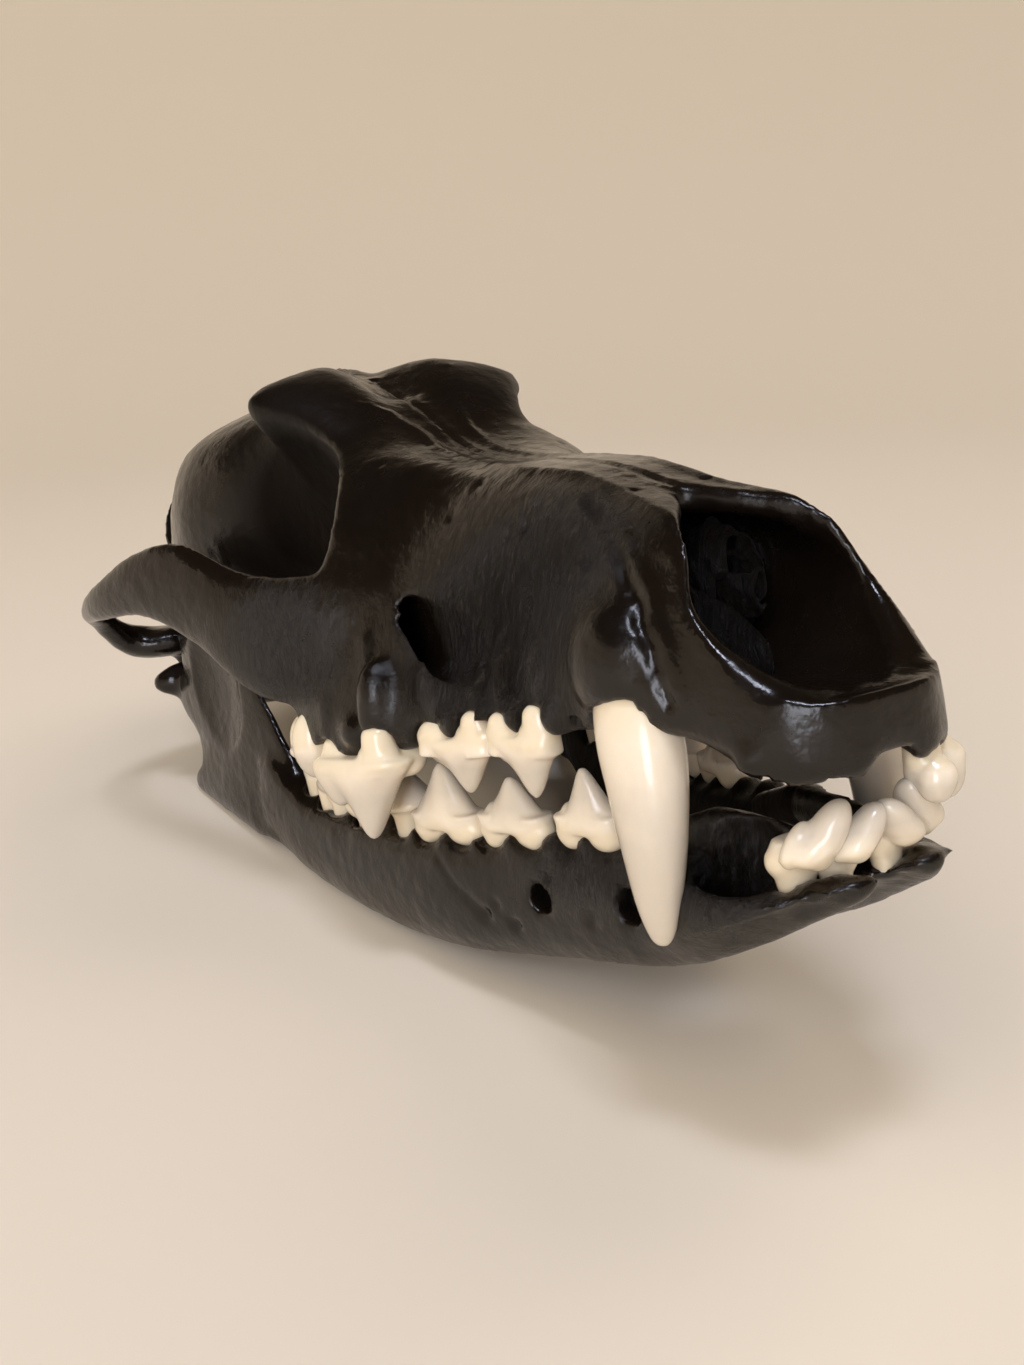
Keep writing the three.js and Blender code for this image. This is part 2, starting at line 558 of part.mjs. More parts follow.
function cranium() {
  const core = join([
    symmetricLoft(-1.2, PALATE_LENGTH + 3, 22, 24, faceOutline),
    symmetricLoft(70, 198, 20, 28, braincaseOutline),
  ]);
  const orbits = Object.values(SIDES).map((sign) =>
    ellipsoid([sign * 37, 100, 31], [24, 24, 22], [0, 0, 0], 18, 12),
  );
  const choana = ellipsoid([0, 104, 3.5], [8, 12, 7]);
  // The slope at the back of the head, from the condyles up to the crest that overhangs them
  const behind = new THREE.BoxGeometry(90, 60, 120);
  behind.translate(0, 30, 0);
  behind.rotateX(-OCCIPUT_SLOPE);
  behind.translate(0, OCCIPUT_Y, 16);
  const framed = join([
    cut(core, [...orbits, choana, solidOf(behind)]),
    sagittalCrest(),
    // Nuchal crest across the back of the head
    ellipsoid([0, OCCIPUT_Y + 6.8, 34.5], [27.5, 3, 24], [-OCCIPUT_SLOPE, 0, 0], 20, 8),
    ...Object.values(SIDES).flatMap(sidePieces),
  ]);
  const hollowed = cut(framed, [
    ...noseCutters(),
    ...Object.values(SIDES).map(infraorbitalCanal),
    // Foramen magnum and the ear openings
    ellipsoid([0, 182, 22], [8.6, 12, 7], [0, 0, 0]),
    ...Object.values(SIDES).map((sign) => ellipsoid([sign * 28, 163.5, 12], [6, 3.4, 3.4])),
    ...Object.keys(SIDES).flatMap((side) => socketsOf(UPPER_TEETH, "upper", side)),
  ]);
  const toothed = join([
    hollowed,
    ...Object.keys(SIDES).flatMap((side) => teethOf(UPPER_TEETH, "upper", side)),
  ]);
  return cut(toothed, [
    ...Object.keys(SIDES).flatMap((side) => teethOf(LOWER_TEETH, "lower", side, TOOTH_GAP)),
    ...Object.values(SIDES).map((sign) => jawCondyle(sign, JOINT_GAP)),
  ]);
}

// Height of the lowest point above the tilted floor plane through the origin
function lowestPoint(solids) {
  const tilt = new THREE.Matrix4().makeRotationX(REST_PITCH);
  const point = new THREE.Vector3();
  let lowest = Infinity;
  for (const solid of solids) {
    const { vertProperties } = solid.getMesh();
    for (let i = 0; i < vertProperties.length; i += 3) {
      point.fromArray(vertProperties, i).applyMatrix4(tilt);
      lowest = Math.min(lowest, point.z);
    }
  }
  return lowest;
}

// Everything below the floor that the lower jaw stands on
function floorCutter(level) {
  const block = new THREE.BoxGeometry(200, 500, 40);
  block.translate(0, 0, level - 20);
  block.applyMatrix4(new THREE.Matrix4().makeRotationX(-REST_PITCH));
  return solidOf(block);
}

const bone = new THREE.MeshStandardMaterial({ color: 0x1a1410, roughness: 0.35, metalness: 0 });

function meshOf(name, solid) {
  const { vertProperties, triVerts } = largestBody(solid).getMesh();
  const geometry = new THREE.BufferGeometry();
  geometry.setAttribute("position", new THREE.BufferAttribute(new Float32Array(vertProperties), 3));
  geometry.setIndex(new THREE.BufferAttribute(new Uint32Array(triVerts), 1));
  const mesh = new THREE.Mesh(geometry, bone.clone());
  mesh.name = name;
  return mesh;
}

const jaws = Object.keys(SIDES).map((side) => [`mandible_${side}`, mandible(side)]);
const floorLevel = lowestPoint(jaws.map(([, solid]) => solid)) + FLAT_DEPTH;
const floor = floorCutter(floorLevel);

const skull = new THREE.Group();
skull.add(meshOf("cranium", cranium()));
for (const [name, solid] of jaws) skull.add(meshOf(name, solid.subtract(floor)));
skull.rotation.x = REST_PITCH;

// Stands the skull on the floor with the middle of its plan at the origin
skull.updateMatrixWorld(true);
const bounds = new THREE.Box3().setFromObject(skull, true);
const middle = bounds.getCenter(new THREE.Vector3());
skull.position.set(-middle.x, -middle.y, -bounds.min.z);

export default skull;
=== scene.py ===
import math
import time

import bmesh
import bpy
import numpy as np
from mathutils import Euler, Matrix, Vector


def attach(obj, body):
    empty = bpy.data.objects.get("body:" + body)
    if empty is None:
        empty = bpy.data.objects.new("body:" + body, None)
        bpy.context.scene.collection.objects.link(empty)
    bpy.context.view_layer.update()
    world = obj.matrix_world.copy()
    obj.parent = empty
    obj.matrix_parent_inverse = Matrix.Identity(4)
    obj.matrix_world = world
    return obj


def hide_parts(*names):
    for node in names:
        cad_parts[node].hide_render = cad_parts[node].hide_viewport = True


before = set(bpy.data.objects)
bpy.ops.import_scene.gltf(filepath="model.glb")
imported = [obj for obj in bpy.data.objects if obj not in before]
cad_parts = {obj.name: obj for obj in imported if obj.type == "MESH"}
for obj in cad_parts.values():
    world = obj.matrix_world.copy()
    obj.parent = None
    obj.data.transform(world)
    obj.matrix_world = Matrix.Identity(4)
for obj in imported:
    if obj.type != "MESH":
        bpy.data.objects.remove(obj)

startTime = time.time()
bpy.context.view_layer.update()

# The bones are drawn in millimetres in the frame of the upper jaw: x to the animal's left,
# y back from the front of the premaxilla, z up from the rims of the upper sockets.
# placeInRow pitches them as they lie on the floor and gives metres.
skullPlace = {
    "pitch": math.radians(-13.5),
    "back": -101.144,
    "up": 49.865,
}
sides = (1, -1)


def say(stage):
    print(f"{stage} at {time.time() - startTime:.1f} s")


# Small tools for meshes


def deselectAll():
    if bpy.context.object and bpy.context.object.mode != "OBJECT":
        bpy.ops.object.mode_set(mode="OBJECT")
    bpy.ops.object.select_all(action="DESELECT")


def makeActive(piece):
    deselectAll()
    piece.select_set(True)
    bpy.context.view_layer.objects.active = piece


def applyModifier(piece, kind, **settings):
    makeActive(piece)
    modifier = piece.modifiers.new(kind.title(), kind)
    for key, value in settings.items():
        setattr(modifier, key, value)
    bpy.ops.object.modifier_apply(modifier=modifier.name)


def joinPieces(name, pieces):
    deselectAll()
    for piece in pieces:
        piece.select_set(True)
    bpy.context.view_layer.objects.active = pieces[0]
    if len(pieces) > 1:
        bpy.ops.object.join()
    joined = bpy.context.view_layer.objects.active
    joined.name = name
    joined.data.name = name
    bpy.ops.object.transform_apply(location=True, rotation=True, scale=True)
    return joined


# Overlapping closed pieces become one skin
def fuse(name, pieces, voxel, smooth=0, strength=0.5):
    fused = joinPieces(name, pieces)
    applyModifier(fused, "REMESH", mode="VOXEL", voxel_size=voxel, adaptivity=0.0, use_smooth_shade=True)
    if smooth:
        applyModifier(fused, "SMOOTH", factor=strength, iterations=smooth)
    return fused


# All cutters are fused first, so that the large skin is cut once
def cutAway(piece, cutters, voxel=0.5):
    cutter = fuse("cutter", cutters, voxel)
    applyModifier(piece, "BOOLEAN", operation="DIFFERENCE", solver="MANIFOLD", object=cutter)
    bpy.data.objects.remove(cutter)
    return piece


def pointsOf(piece):
    points = np.zeros(len(piece.data.vertices) * 3)
    piece.data.vertices.foreach_get("co", points)
    return points.reshape(-1, 3)


def setPoints(piece, points):
    piece.data.vertices.foreach_set("co", np.ascontiguousarray(points, dtype=np.float64).ravel())
    piece.data.update()


def normalsOf(piece):
    normals = np.zeros(len(piece.data.vertices) * 3)
    piece.data.vertices.foreach_get("normal", normals)
    return normals.reshape(-1, 3)


def newObject(name, data):
    made = bpy.data.objects.new(name, data)
    bpy.context.scene.collection.objects.link(made)
    return made


def newPiece(name, points, faces):
    mesh = bpy.data.meshes.new(name)
    mesh.from_pydata(points, [], faces)
    return newObject(name, mesh)


def shadeSmooth(piece):
    piece.data.polygons.foreach_set("use_smooth", [True] * len(piece.data.polygons))


# A layer of values, at least that much and at most 1, that a material reads
def paintLayer(piece, name, values, least=0):
    layer = piece.data.attributes.new(name, "FLOAT", "POINT")
    layer.data.foreach_set("value", np.clip(values, least, 1).astype(np.float32))


# More smoothing for some of a skin's points
def smoothPart(piece, which, steps):
    group = piece.vertex_groups.new(name="part")
    group.add(which.tolist(), 1.0, "REPLACE")
    applyModifier(piece, "SMOOTH", factor=0.5, iterations=steps, vertex_group="part")


def faceOut(piece):
    build = bmesh.new()
    build.from_mesh(piece.data)
    bmesh.ops.recalc_face_normals(build, faces=build.faces)
    build.to_mesh(piece.data)
    build.free()


def trianglesOf(piece):
    return sum(len(face.vertices) - 2 for face in piece.data.polygons)


# Fewer triangles on the even parts of a skin, where it has more than that many
def thinOut(piece, most):
    count = trianglesOf(piece)
    if count > most:
        applyModifier(piece, "DECIMATE", ratio=most / count)


# From the upper jaw's millimetres to the row's metres
def placeInRow(piece):
    turn = Matrix.Rotation(skullPlace["pitch"], 4, "X")
    move = Matrix.Translation((0, skullPlace["back"], skullPlace["up"]))
    piece.data.transform(Matrix.Scale(0.001, 4) @ move @ turn)
    piece.data.update()


# Lines and skins


def smoothLine(*pairs):
    place = np.array([pair[0] for pair in pairs], float)
    value = np.array([pair[1] for pair in pairs], float)
    last = len(pairs) - 1
    before = np.maximum(np.arange(last + 1) - 1, 0)
    after = np.minimum(np.arange(last + 1) + 1, last)
    slope = (value[after] - value[before]) / (place[after] - place[before])

    def at(where):
        x = np.clip(np.asarray(where, float), place[0], place[last])
        i = np.clip(np.searchsorted(place, x, side="right") - 1, 0, last - 1)
        step = place[i + 1] - place[i]
        t = (x - place[i]) / step
        s = 1 - t
        return (
            value[i] * (1 + 2 * t) * s * s
            + value[i + 1] * (1 + 2 * s) * t * t
            + slope[i] * step * t * s * s
            - slope[i + 1] * step * s * t * t
        )

    return at


# Points on a curve through the given ones, turns from 0 to 1
def smoothCurve(points, turns, closed=False):
    points = np.array(points, float)
    count = len(points)
    spans = count if closed else count - 1
    p = np.clip(np.asarray(turns, float), 0, 1) * spans
    i = np.minimum(np.floor(p).astype(int), spans - 1)
    t = (p - i)[:, None]
    if closed:
        p0, p1, p2, p3 = (points[(i + k) % count] for k in (-1, 0, 1, 2))
    else:
        padded = np.vstack([2 * points[0] - points[1], points, 2 * points[-1] - points[-2]])
        p0, p1, p2, p3 = (padded[i + k] for k in (0, 1, 2, 3))
    m1, m2 = 0.5 * (p2 - p0), 0.5 * (p3 - p1)
    return (
        p1
        + m1 * t
        + (-3 * p1 + 3 * p2 - 2 * m1 - m2) * t**2
        + (2 * p1 - 2 * p2 + m1 + m2) * t**3
    )


def angles(count):
    return np.linspace(0, 2 * math.pi, count, endpoint=False)


def ringAt(y, x, z):
    return np.column_stack([x, np.full(len(x), y), z])


# An upright oval ring at y
def ovalAt(y, middle, half, low, high, around):
    angle = angles(around)
    return ringAt(y, middle + half * np.sin(angle), (low + high) / 2 + (high - low) / 2 * np.cos(angle))


# A smooth closed ring at y through corners [x, z]
def closedAt(y, corners, around):
    section = smoothCurve(corners, np.arange(around) / around, closed=True)
    return ringAt(y, section[:, 0], section[:, 1])


# A closed skin over rings of points, with a middle point in each end
def skinPiece(name, rings):
    rings = np.array(rings, float)
    rows, around = rings.shape[:2]
    points = np.concatenate([rings.reshape(-1, 3), rings[[0, -1]].mean(axis=1)])
    faces = []
    for row in range(rows - 1):
        for k in range(around):
            a, b = row * around + k, row * around + (k + 1) % around
            faces.append((a, b, b + around, a + around))
    first, last = rows * around, rows * around + 1
    for k in range(around):
        faces.append((first, (k + 1) % around, k))
        faces.append((last, (rows - 1) * around + k, (rows - 1) * around + (k + 1) % around))
    piece = newPiece(name, points.tolist(), faces)
    faceOut(piece)
    return piece


# The values at one place of some of a shape's lines
def linesAt(shape, place, *names):
    return [float(shape[name](place)) for name in names]


# A skin along y. outline(y) lists [x, z] from the top middle to the bottom middle
def symmetricSkin(name, start, end, rows, around, outline):
    rings = []
    for y in np.linspace(start, end, rows):
        half = outline(float(y))
        rings.append(closedAt(y, half + [[-x, z] for x, z in half[-2:0:-1]], around))
    return skinPiece(name, rings)


def ball(name, place, radii, turn=(0, 0, 0), segments=32, rings=20):
    bpy.ops.mesh.primitive_uv_sphere_add(
        segments=segments, ring_count=rings, radius=1, location=place, rotation=turn,
    )
    piece = bpy.context.object
    piece.name = name
    piece.scale = radii
    return piece


# A round bar between two points, with a radius at each end
def rod(name, start, end, startRadius, endRadius, sidesAround=20, squeeze=(1, 1)):
    start, end = Vector(start), Vector(end)
    along = end - start
    bpy.ops.mesh.primitive_cone_add(
        vertices=sidesAround, radius1=startRadius, radius2=endRadius,
        depth=along.length, location=(start + end) / 2,
    )
    piece = bpy.context.object
    piece.name = name
    piece.rotation_euler = along.to_track_quat("Z", "Y").to_euler()
    piece.scale = (squeeze[0], squeeze[1], 1)
    return piece


# A ball or a rod on one side, from its places and turn on the animal's left
def sideBall(side, name, place, radii, turn=(0, 0, 0), *counts):
    x, y, z = place
    return ball(name, (side * x, y, z), radii, (turn[0], side * turn[1], side * turn[2]), *counts)


def sideRod(side, name, start, end, *values, squeeze=(1, 1)):
    start, end = ((side * x, y, z) for x, y, z in (start, end))
    return rod(name, start, end, *values, squeeze=squeeze)


def block(name, place, size, turn=(0, 0, 0)):
    bpy.ops.mesh.primitive_cube_add(size=1, location=place, rotation=turn)
    piece = bpy.context.object
    piece.name = name
    piece.scale = size
    return piece


# Tools for carving a finished skin


# Distance of each point from a line of corners
def farFromLine(points, corners):
    corners = np.array(corners, float)
    best = np.full(len(points), 1e9)
    for a, b in zip(corners[:-1], corners[1:]):
        along = b - a
        t = np.clip(((points - a) @ along) / max(along @ along, 1e-9), 0, 1)
        best = np.minimum(best, np.linalg.norm(points - (a + t[:, None] * along), axis=1))
    return best


# 1 at a place, falling to 0 over its reach in each direction
def softSpot(points, place, reach):
    away = (points - np.array(place, float)) / np.array(reach, float)
    return np.exp(-(away**2).sum(axis=1))


# Large primes that spread the cells of the noise
hashPrimes = (73856093, 19349663, 83492791)


# Smooth noise from -1 to 1 with bumps of about that size in mm
def softNoise(points, size, seed):
    scaled = points / size + seed * 17.31
    corner = np.floor(scaled).astype(np.int64)
    part = scaled - corner
    part = part * part * (3 - 2 * part)
    total = np.zeros(len(points))
    for shift in np.ndindex(2, 2, 2):
        cell = (corner + shift) * hashPrimes
        key = cell[:, 0] ^ cell[:, 1] ^ cell[:, 2]
        key = (key ^ (key >> 13)) * 1274126177 & 0x7FFFFFFF
        total += ((key % 10007) / 5003.5 - 1) * np.where(shift, part, 1 - part).prod(axis=1)
    return total


def layeredNoise(points, size, seed, layers=3):
    total = np.zeros(len(points))
    for layer in range(layers):
        total += softNoise(points, size / 2**layer, seed + layer) / 2**layer
    return total


# The cranium

faceShape = {
    "dorsal": smoothLine((0, 15), (12, 21.5), (28, 25.7), (40, 29.6), (52, 32), (68, 34), (82, 38.3),
                         (90, 43), (98, 48.5), (108, 53.5), (116, 56)),
    "rim": smoothLine((0, -4.9), (6, -4.1), (9, -1.8), (13, 0.2), (18, 1.4), (25, 2), (29, 0.4), (33, 0.6),
                      (41, 0.2), (48, 0.4), (54, -0.7), (61, -1.9), (71, -3.7), (82, -3),
                      (94, -0.8), (98, 0.6)),
    "width": smoothLine((-1.2, 4), (0, 6.6), (2, 9.4), (5, 11.6), (12, 14), (20, 17.6), (30, 17), (42, 18.5),
                        (56, 22), (66, 27), (78, 31.5), (87, 31.5), (94, 28), (98, 23), (101, 16)),
    "roofWidth": smoothLine((-1, 3), (3, 6), (12, 8.2), (30, 9), (55, 9.5), (70, 12.5), (82, 18.5),
                            (98, 17)),
    "roofDrop": smoothLine((0, 1), (60, 1.5), (82, 1.2), (98, 4)),
    "cheekWidth": smoothLine((-1.2, 4), (0, 6.4), (4, 10), (12, 12.2), (25, 15.3), (40, 15.3), (60, 18.5),
                             (72, 24), (82, 29), (90, 29), (98, 23)),
    "wideAbove": smoothLine((0, 3), (20, 5), (98, 5)),
}


def faceOutline(y):
    top, roof, drop, cheek, rim, wide, above = linesAt(
        faceShape, y, "dorsal", "roofWidth", "roofDrop", "cheekWidth", "rim", "width", "wideAbove")
    return [
        [0, top],
        [roof, top - drop],
        [cheek, rim + 0.55 * (top - rim)],
        [wide, rim + above],
        [wide - 1.5, rim],
        [wide * 0.55, rim + 2],
        [0, rim + 2.6],
    ]


braincaseShape = {
    "top": smoothLine((70, 30), (82, 37), (90, 42), (98, 47.5), (108, 52.8), (116, 56), (126, 57.5),
                      (140, 59.5), (158, 60.5), (176, 59), (188, 56), (198, 52)),
    "humpX": smoothLine((70, 8), (90, 9.5), (112, 11), (126, 7), (150, 10), (180, 9), (198, 7)),
    "humpZ": smoothLine((70, -1), (90, 1.2), (108, 3.2), (118, 1), (130, -2.5), (160, -2.5), (198, -3)),
    "browX": smoothLine((70, 14), (82, 19), (92, 18), (99, 20.5), (104, 23.4), (107.5, 24.9), (110.5, 23.2),
                        (116, 17.5), (126, 15.5), (140, 22), (152, 25.5), (168, 24.5),
                        (184, 20.5), (198, 16)),
    "browZ": smoothLine((70, 26), (82, 34), (92, 41.5), (99, 46.5), (107.5, 50.6), (116, 51), (126, 49),
                        (140, 50), (160, 50), (180, 46), (198, 42)),
    "sideX": smoothLine((70, 14), (92, 13.5), (110, 14), (126, 17), (138, 25.5), (150, 30.5), (168, 30),
                        (184, 26.5), (198, 22)),
    "sideZ": smoothLine((70, 20), (92, 28), (126, 36), (150, 35), (180, 29), (198, 28)),
    "lowX": smoothLine((70, 9), (100, 9.5), (126, 11), (142, 19), (156, 25), (174, 25), (186, 20), (198, 16)),
    "lowZ": smoothLine((70, 12), (100, 14), (126, 20), (150, 17), (180, 14), (198, 16)),
    "base": smoothLine((70, 9), (100, 11), (150, 10), (180, 9), (198, 10)),
}


def braincaseOutline(y):
    shape = {key: float(value(y)) for key, value in braincaseShape.items()}
    return [
        [0, shape["top"]],
        [shape["humpX"], shape["top"] + shape["humpZ"]],
        [shape["browX"], shape["browZ"]],
        [shape["sideX"], shape["sideZ"]],
        [shape["lowX"], shape["lowZ"]],
        [0, shape["base"]],
    ]


archShape = {
    "path": [(19, 70), (33.5, 89), (41, 102), (46.5, 113), (50.3, 125), (51.5, 136), (49.5, 146),
             (44, 154), (35, 159), (26, 161)],
    "upper": [22, 24.3, 31.2, 30.8, 27.8, 25.4, 23.5, 19.6, 17.6, 17.6],
    "lower": [5, 4.8, 14.9, 20.3, 20.8, 20.6, 19.5, 13.4, 11.8, 11.8],
    "thick": [8, 7, 5, 4.2, 3.8, 3.8, 4.4, 6, 8, 9],
}


def cheekArch(side):
    shape = archShape
    count = len(shape["path"]) - 1
    turns = np.linspace(0, 1, 64)
    upper, lower = (
        smoothCurve([(side * x, y, z) for (x, y), z in zip(shape["path"], shape[edge])], turns)
        for edge in ("upper", "lower")
    )
    thick = smoothLine(*[(i / count, value) for i, value in enumerate(shape["thick"])])(turns)
    along = np.gradient(upper, axis=0)
    across = np.cross(along, [0, 0, 1])
    across /= np.linalg.norm(across, axis=1)[:, None]
    angle = angles(28)
    middle, reach = (upper + lower) / 2, (upper - lower) / 2
    rings = [
        middle[i] + reach[i] * np.cos(angle)[:, None] + across[i] * (np.sin(angle) * thick[i] / 2)[:, None]
        for i in range(len(turns))
    ]
    return skinPiece("arch", rings)


crestShape = {
    "line": smoothLine((106, 52), (113, 55), (124, 59), (140, 61.8), (158, 62.5), (176, 61.6), (190, 59),
                       (199, 55)),
    "start": 112,
    "end": 198,
    "deep": smoothLine((0, 12), (0.8, 12), (1, 5)),
    "half": smoothLine((0, 5), (0.2, 1.9), (1, 1.4)),
    "around": 24,
}


def topCrest():
    shape = crestShape
    rings = []
    for t in np.linspace(0, 1, 60):
        y = shape["start"] + t * (shape["end"] - shape["start"])
        (top,), (deep, half) = linesAt(shape, y, "line"), linesAt(shape, t, "deep", "half")
        foot = top - deep
        right = [(half * 0.5, top - 0.6), (half * 0.8, top - 4), (half * 2.4, foot)]
        corners = [(0, top), *right, (0, foot - 1), *[(-x, z) for x, z in right[::-1]]]
        rings.append(closedAt(y, corners, shape["around"]))
    return skinPiece("crest", rings)


throatShape = {
    "start": 94,
    "end": 129,
    "high": 17,
    "low": smoothLine((94, 2), (104, 3), (118, 4), (126, 2.2), (129, 3.6)),
    "middle": smoothLine((94, 10.5), (110, 9), (129, 8.6)),
    "half": 1.3,
    "around": 20,
}


# The pterygoid wall behind the palate, down to its hook
def throatWall(side):
    shape = throatShape
    rings = []
    for y in np.linspace(shape["start"], shape["end"], 24):
        low, middle = linesAt(shape, y, "low", "middle")
        rings.append(ovalAt(y, side * middle, side * shape["half"], low, shape["high"], shape["around"]))
    return skinPiece("throatWall", rings)


noseShape = {
    "frontCorners": [(-20, 3.6), (-20, 40)],
    "frontLine": [(1, 3.8), (4, 5.3), (8, 8.8), (11, 12), (12.4, 15), (13.2, 18), (13.6, 20.5), (13.8, 40)],
    "frontHalf": 30,
    "notch": [(-10, 5), (-9.6, 12.5), (-8.2, 16.6), (-6, 19.4), (-2.7, 23.6), (0, 28.4), (2.7, 23.6),
              (6, 19.4), (8.2, 16.6), (9.6, 12.5), (10, 5)],
    "notchHeights": (12, 42),
    "pocket": (-6, 50),
    "pocketRoof": smoothLine((12, 2.8), (30, 3.6), (50, 9)),
    "pocketFloor": smoothLine((-6, 4.2), (20, 4.8), (50, 8)),
    "pocketInner": smoothLine((0, 0.86), (10, 0.84), (17, 0.72), (30, 0.72)),
    "pocketWidth": smoothLine((-6, 7.6), (6, 9.2), (14, 10.6), (30, 10.4), (50, 5)),
    "smoothed": {"half": 11.5, "back": 33, "low": 4.5, "steps": 24},
}


# A flat outline drawn out along an axis
def prism(name, outline, near, far, axis):
    corners = [
        (along, *point) if axis == "X" else (*point, along)
        for along in (near, far) for point in outline
    ]
    count = len(outline)
    faces = [tuple(range(count))[::-1], tuple(range(count, 2 * count))]
    faces += [(k, (k + 1) % count, (k + 1) % count + count, k + count) for k in range(count)]
    piece = newPiece(name, corners, faces)
    faceOut(piece)
    return piece


def noseCutters():
    shape = noseShape
    below, above = shape["frontCorners"]
    rim = smoothCurve(shape["frontLine"], np.linspace(0, 1, 40)).tolist()
    front = prism("noseFront", [below, *rim, above], -shape["frontHalf"], shape["frontHalf"], "X")
    tips = smoothCurve(shape["notch"], np.linspace(0, 1, 48)).tolist()
    notch = prism("noseNotch", tips, *shape["notchHeights"], "Z")

    def pocketOutline(y):
        roof, low, wide, inner = linesAt(shape, y, "pocketRoof", "pocketFloor", "pocketWidth", "pocketInner")
        top = float(faceShape["dorsal"](max(y, 12))) - roof
        return [
            [0, top],
            [wide * 0.7, top - 1.2],
            [wide, low + 0.62 * (top - low)],
            [wide * inner, low + 2.5],
            [wide * inner * 0.5, low],
            [0, low],
        ]

    return [front, notch, symmetricSkin("nosePocket", *shape["pocket"], 40, 48, pocketOutline)]


# The teeth

# at: middle of the crown [x, y]. long and wide: its size. turn: degrees from the line of the head.
# neck: z where the crown starts. rim: z of the socket's rim. roots: [x, y] of each.
# edge: [share of the length forward, height] along the cutting edge.
# cusps: [share forward, share out, height, girth].
# Some have more. flare: how far the tip goes out. lean: how far it goes back along the crown.
# bare: z where each root that shows enters the bone. deep: length of a root that stays short.
upperTeeth = {
    "incisor1": {"at": (2.2, -0.6), "long": 3.6, "wide": 4, "rim": -4.4, "neck": -5.5, "turn": 84,
                 "roots": [(2.2, 1)],
                 "edge": [(-0.5, 1.6), (-0.25, 3), (0.1, 3.6), (0.35, 2.8), (0.5, 1.2)]},
    "incisor2": {"at": (5.9, 0.9), "long": 3.8, "wide": 4.2, "rim": -4, "neck": -5.2, "turn": 66,
                 "roots": [(5.8, 2.4)], "cusps": [(0.08, 0, 3.4, 1.9), (-0.3, 0, 2.2, 1.2)]},
    "incisor3": {"at": (10.2, 4.2), "long": 4.8, "wide": 4.8, "rim": -3, "neck": -4.6, "turn": 42,
                 "roots": [(9.6, 5.4)], "cusps": [(0.06, 0, 5, 2.2), (-0.3, 0, 2.8, 1.4)]},
    "premolar1": {"at": (16, 29.5), "long": 5, "wide": 3.6, "rim": 2.3, "neck": 0.4, "turn": 0,
                  "roots": [(15.8, 30)],
                  "edge": [(-0.5, 0.8), (-0.2, 2.2), (0.1, 4), (0.3, 2.6), (0.5, 0.8)]},
    "premolar2": {"at": (17.8, 40.5), "long": 10.4, "wide": 5, "rim": 2.3, "neck": -0.8, "turn": 10,
                  "roots": [(17, 37.2), (18.6, 44.1)], "bare": [3.2, 2.2], "cusps": [(0.36, 0, 2, 2.2)],
                  "edge": [(-0.5, 1.2), (-0.4, 2.6), (-0.26, 2.9), (-0.1, 4.4), (0.06, 6.6), (0.16, 6),
                           (0.34, 3.4), (0.5, 1.2)]},
    "premolar3": {"at": (20.4, 54), "long": 12, "wide": 5.4, "rim": 1.2, "neck": -1.4, "turn": 14,
                  "roots": [(19.2, 49.7), (21.8, 58.3)], "bare": [2.2, 1], "cusps": [(0.36, 0, 1.8, 2.3)],
                  "edge": [(-0.5, 1.4), (-0.42, 2.8), (-0.28, 3), (-0.1, 4.2), (0.06, 6.4), (0.15, 6),
                           (0.34, 3.2), (0.5, 1.2)]},
    "premolar4": {"at": (28, 71.2), "long": 19.5, "wide": 8, "rim": 0.4, "neck": -3.6, "turn": 16,
                  "flare": 1.4, "roots": [(26.9, 65.4), (29.2, 77)], "bare": [1, -0.8],
                  "edge": [(-0.5, 2.4), (-0.44, 5.4), (-0.3, 6.6), (-0.16, 6), (-0.07, 7), (0.03, 9.4),
                           (0.1, 10.6), (0.17, 9.2), (0.34, 4), (0.5, 1.6)],
                  "cusps": [(0.34, -0.4, 2.6, 2.6)]},
    "molar1": {"at": (26.6, 85.2), "long": 12.5, "wide": 15, "rim": 0.2, "neck": -1.6, "turn": -10,
               "roots": [(29.4, 82.6), (29, 88), (21.5, 85.6)], "bare": [-1.2, -1, 0],
               "cusps": [(0.22, 0.26, 5, 3.2), (-0.2, 0.26, 4.4, 3), (0.05, -0.22, 3.4, 3),
                         (-0.12, -0.34, 2.4, 2.6)]},
    "molar2": {"at": (24, 94.4), "long": 6.8, "wide": 10.6, "rim": 1, "neck": -0.6, "turn": -16,
               "roots": [(26, 94), (21.5, 95)],
               "cusps": [(0.15, 0.26, 3.4, 2.2), (-0.16, 0.24, 3, 2), (-0.05, -0.22, 2.6, 2.4)]},
}
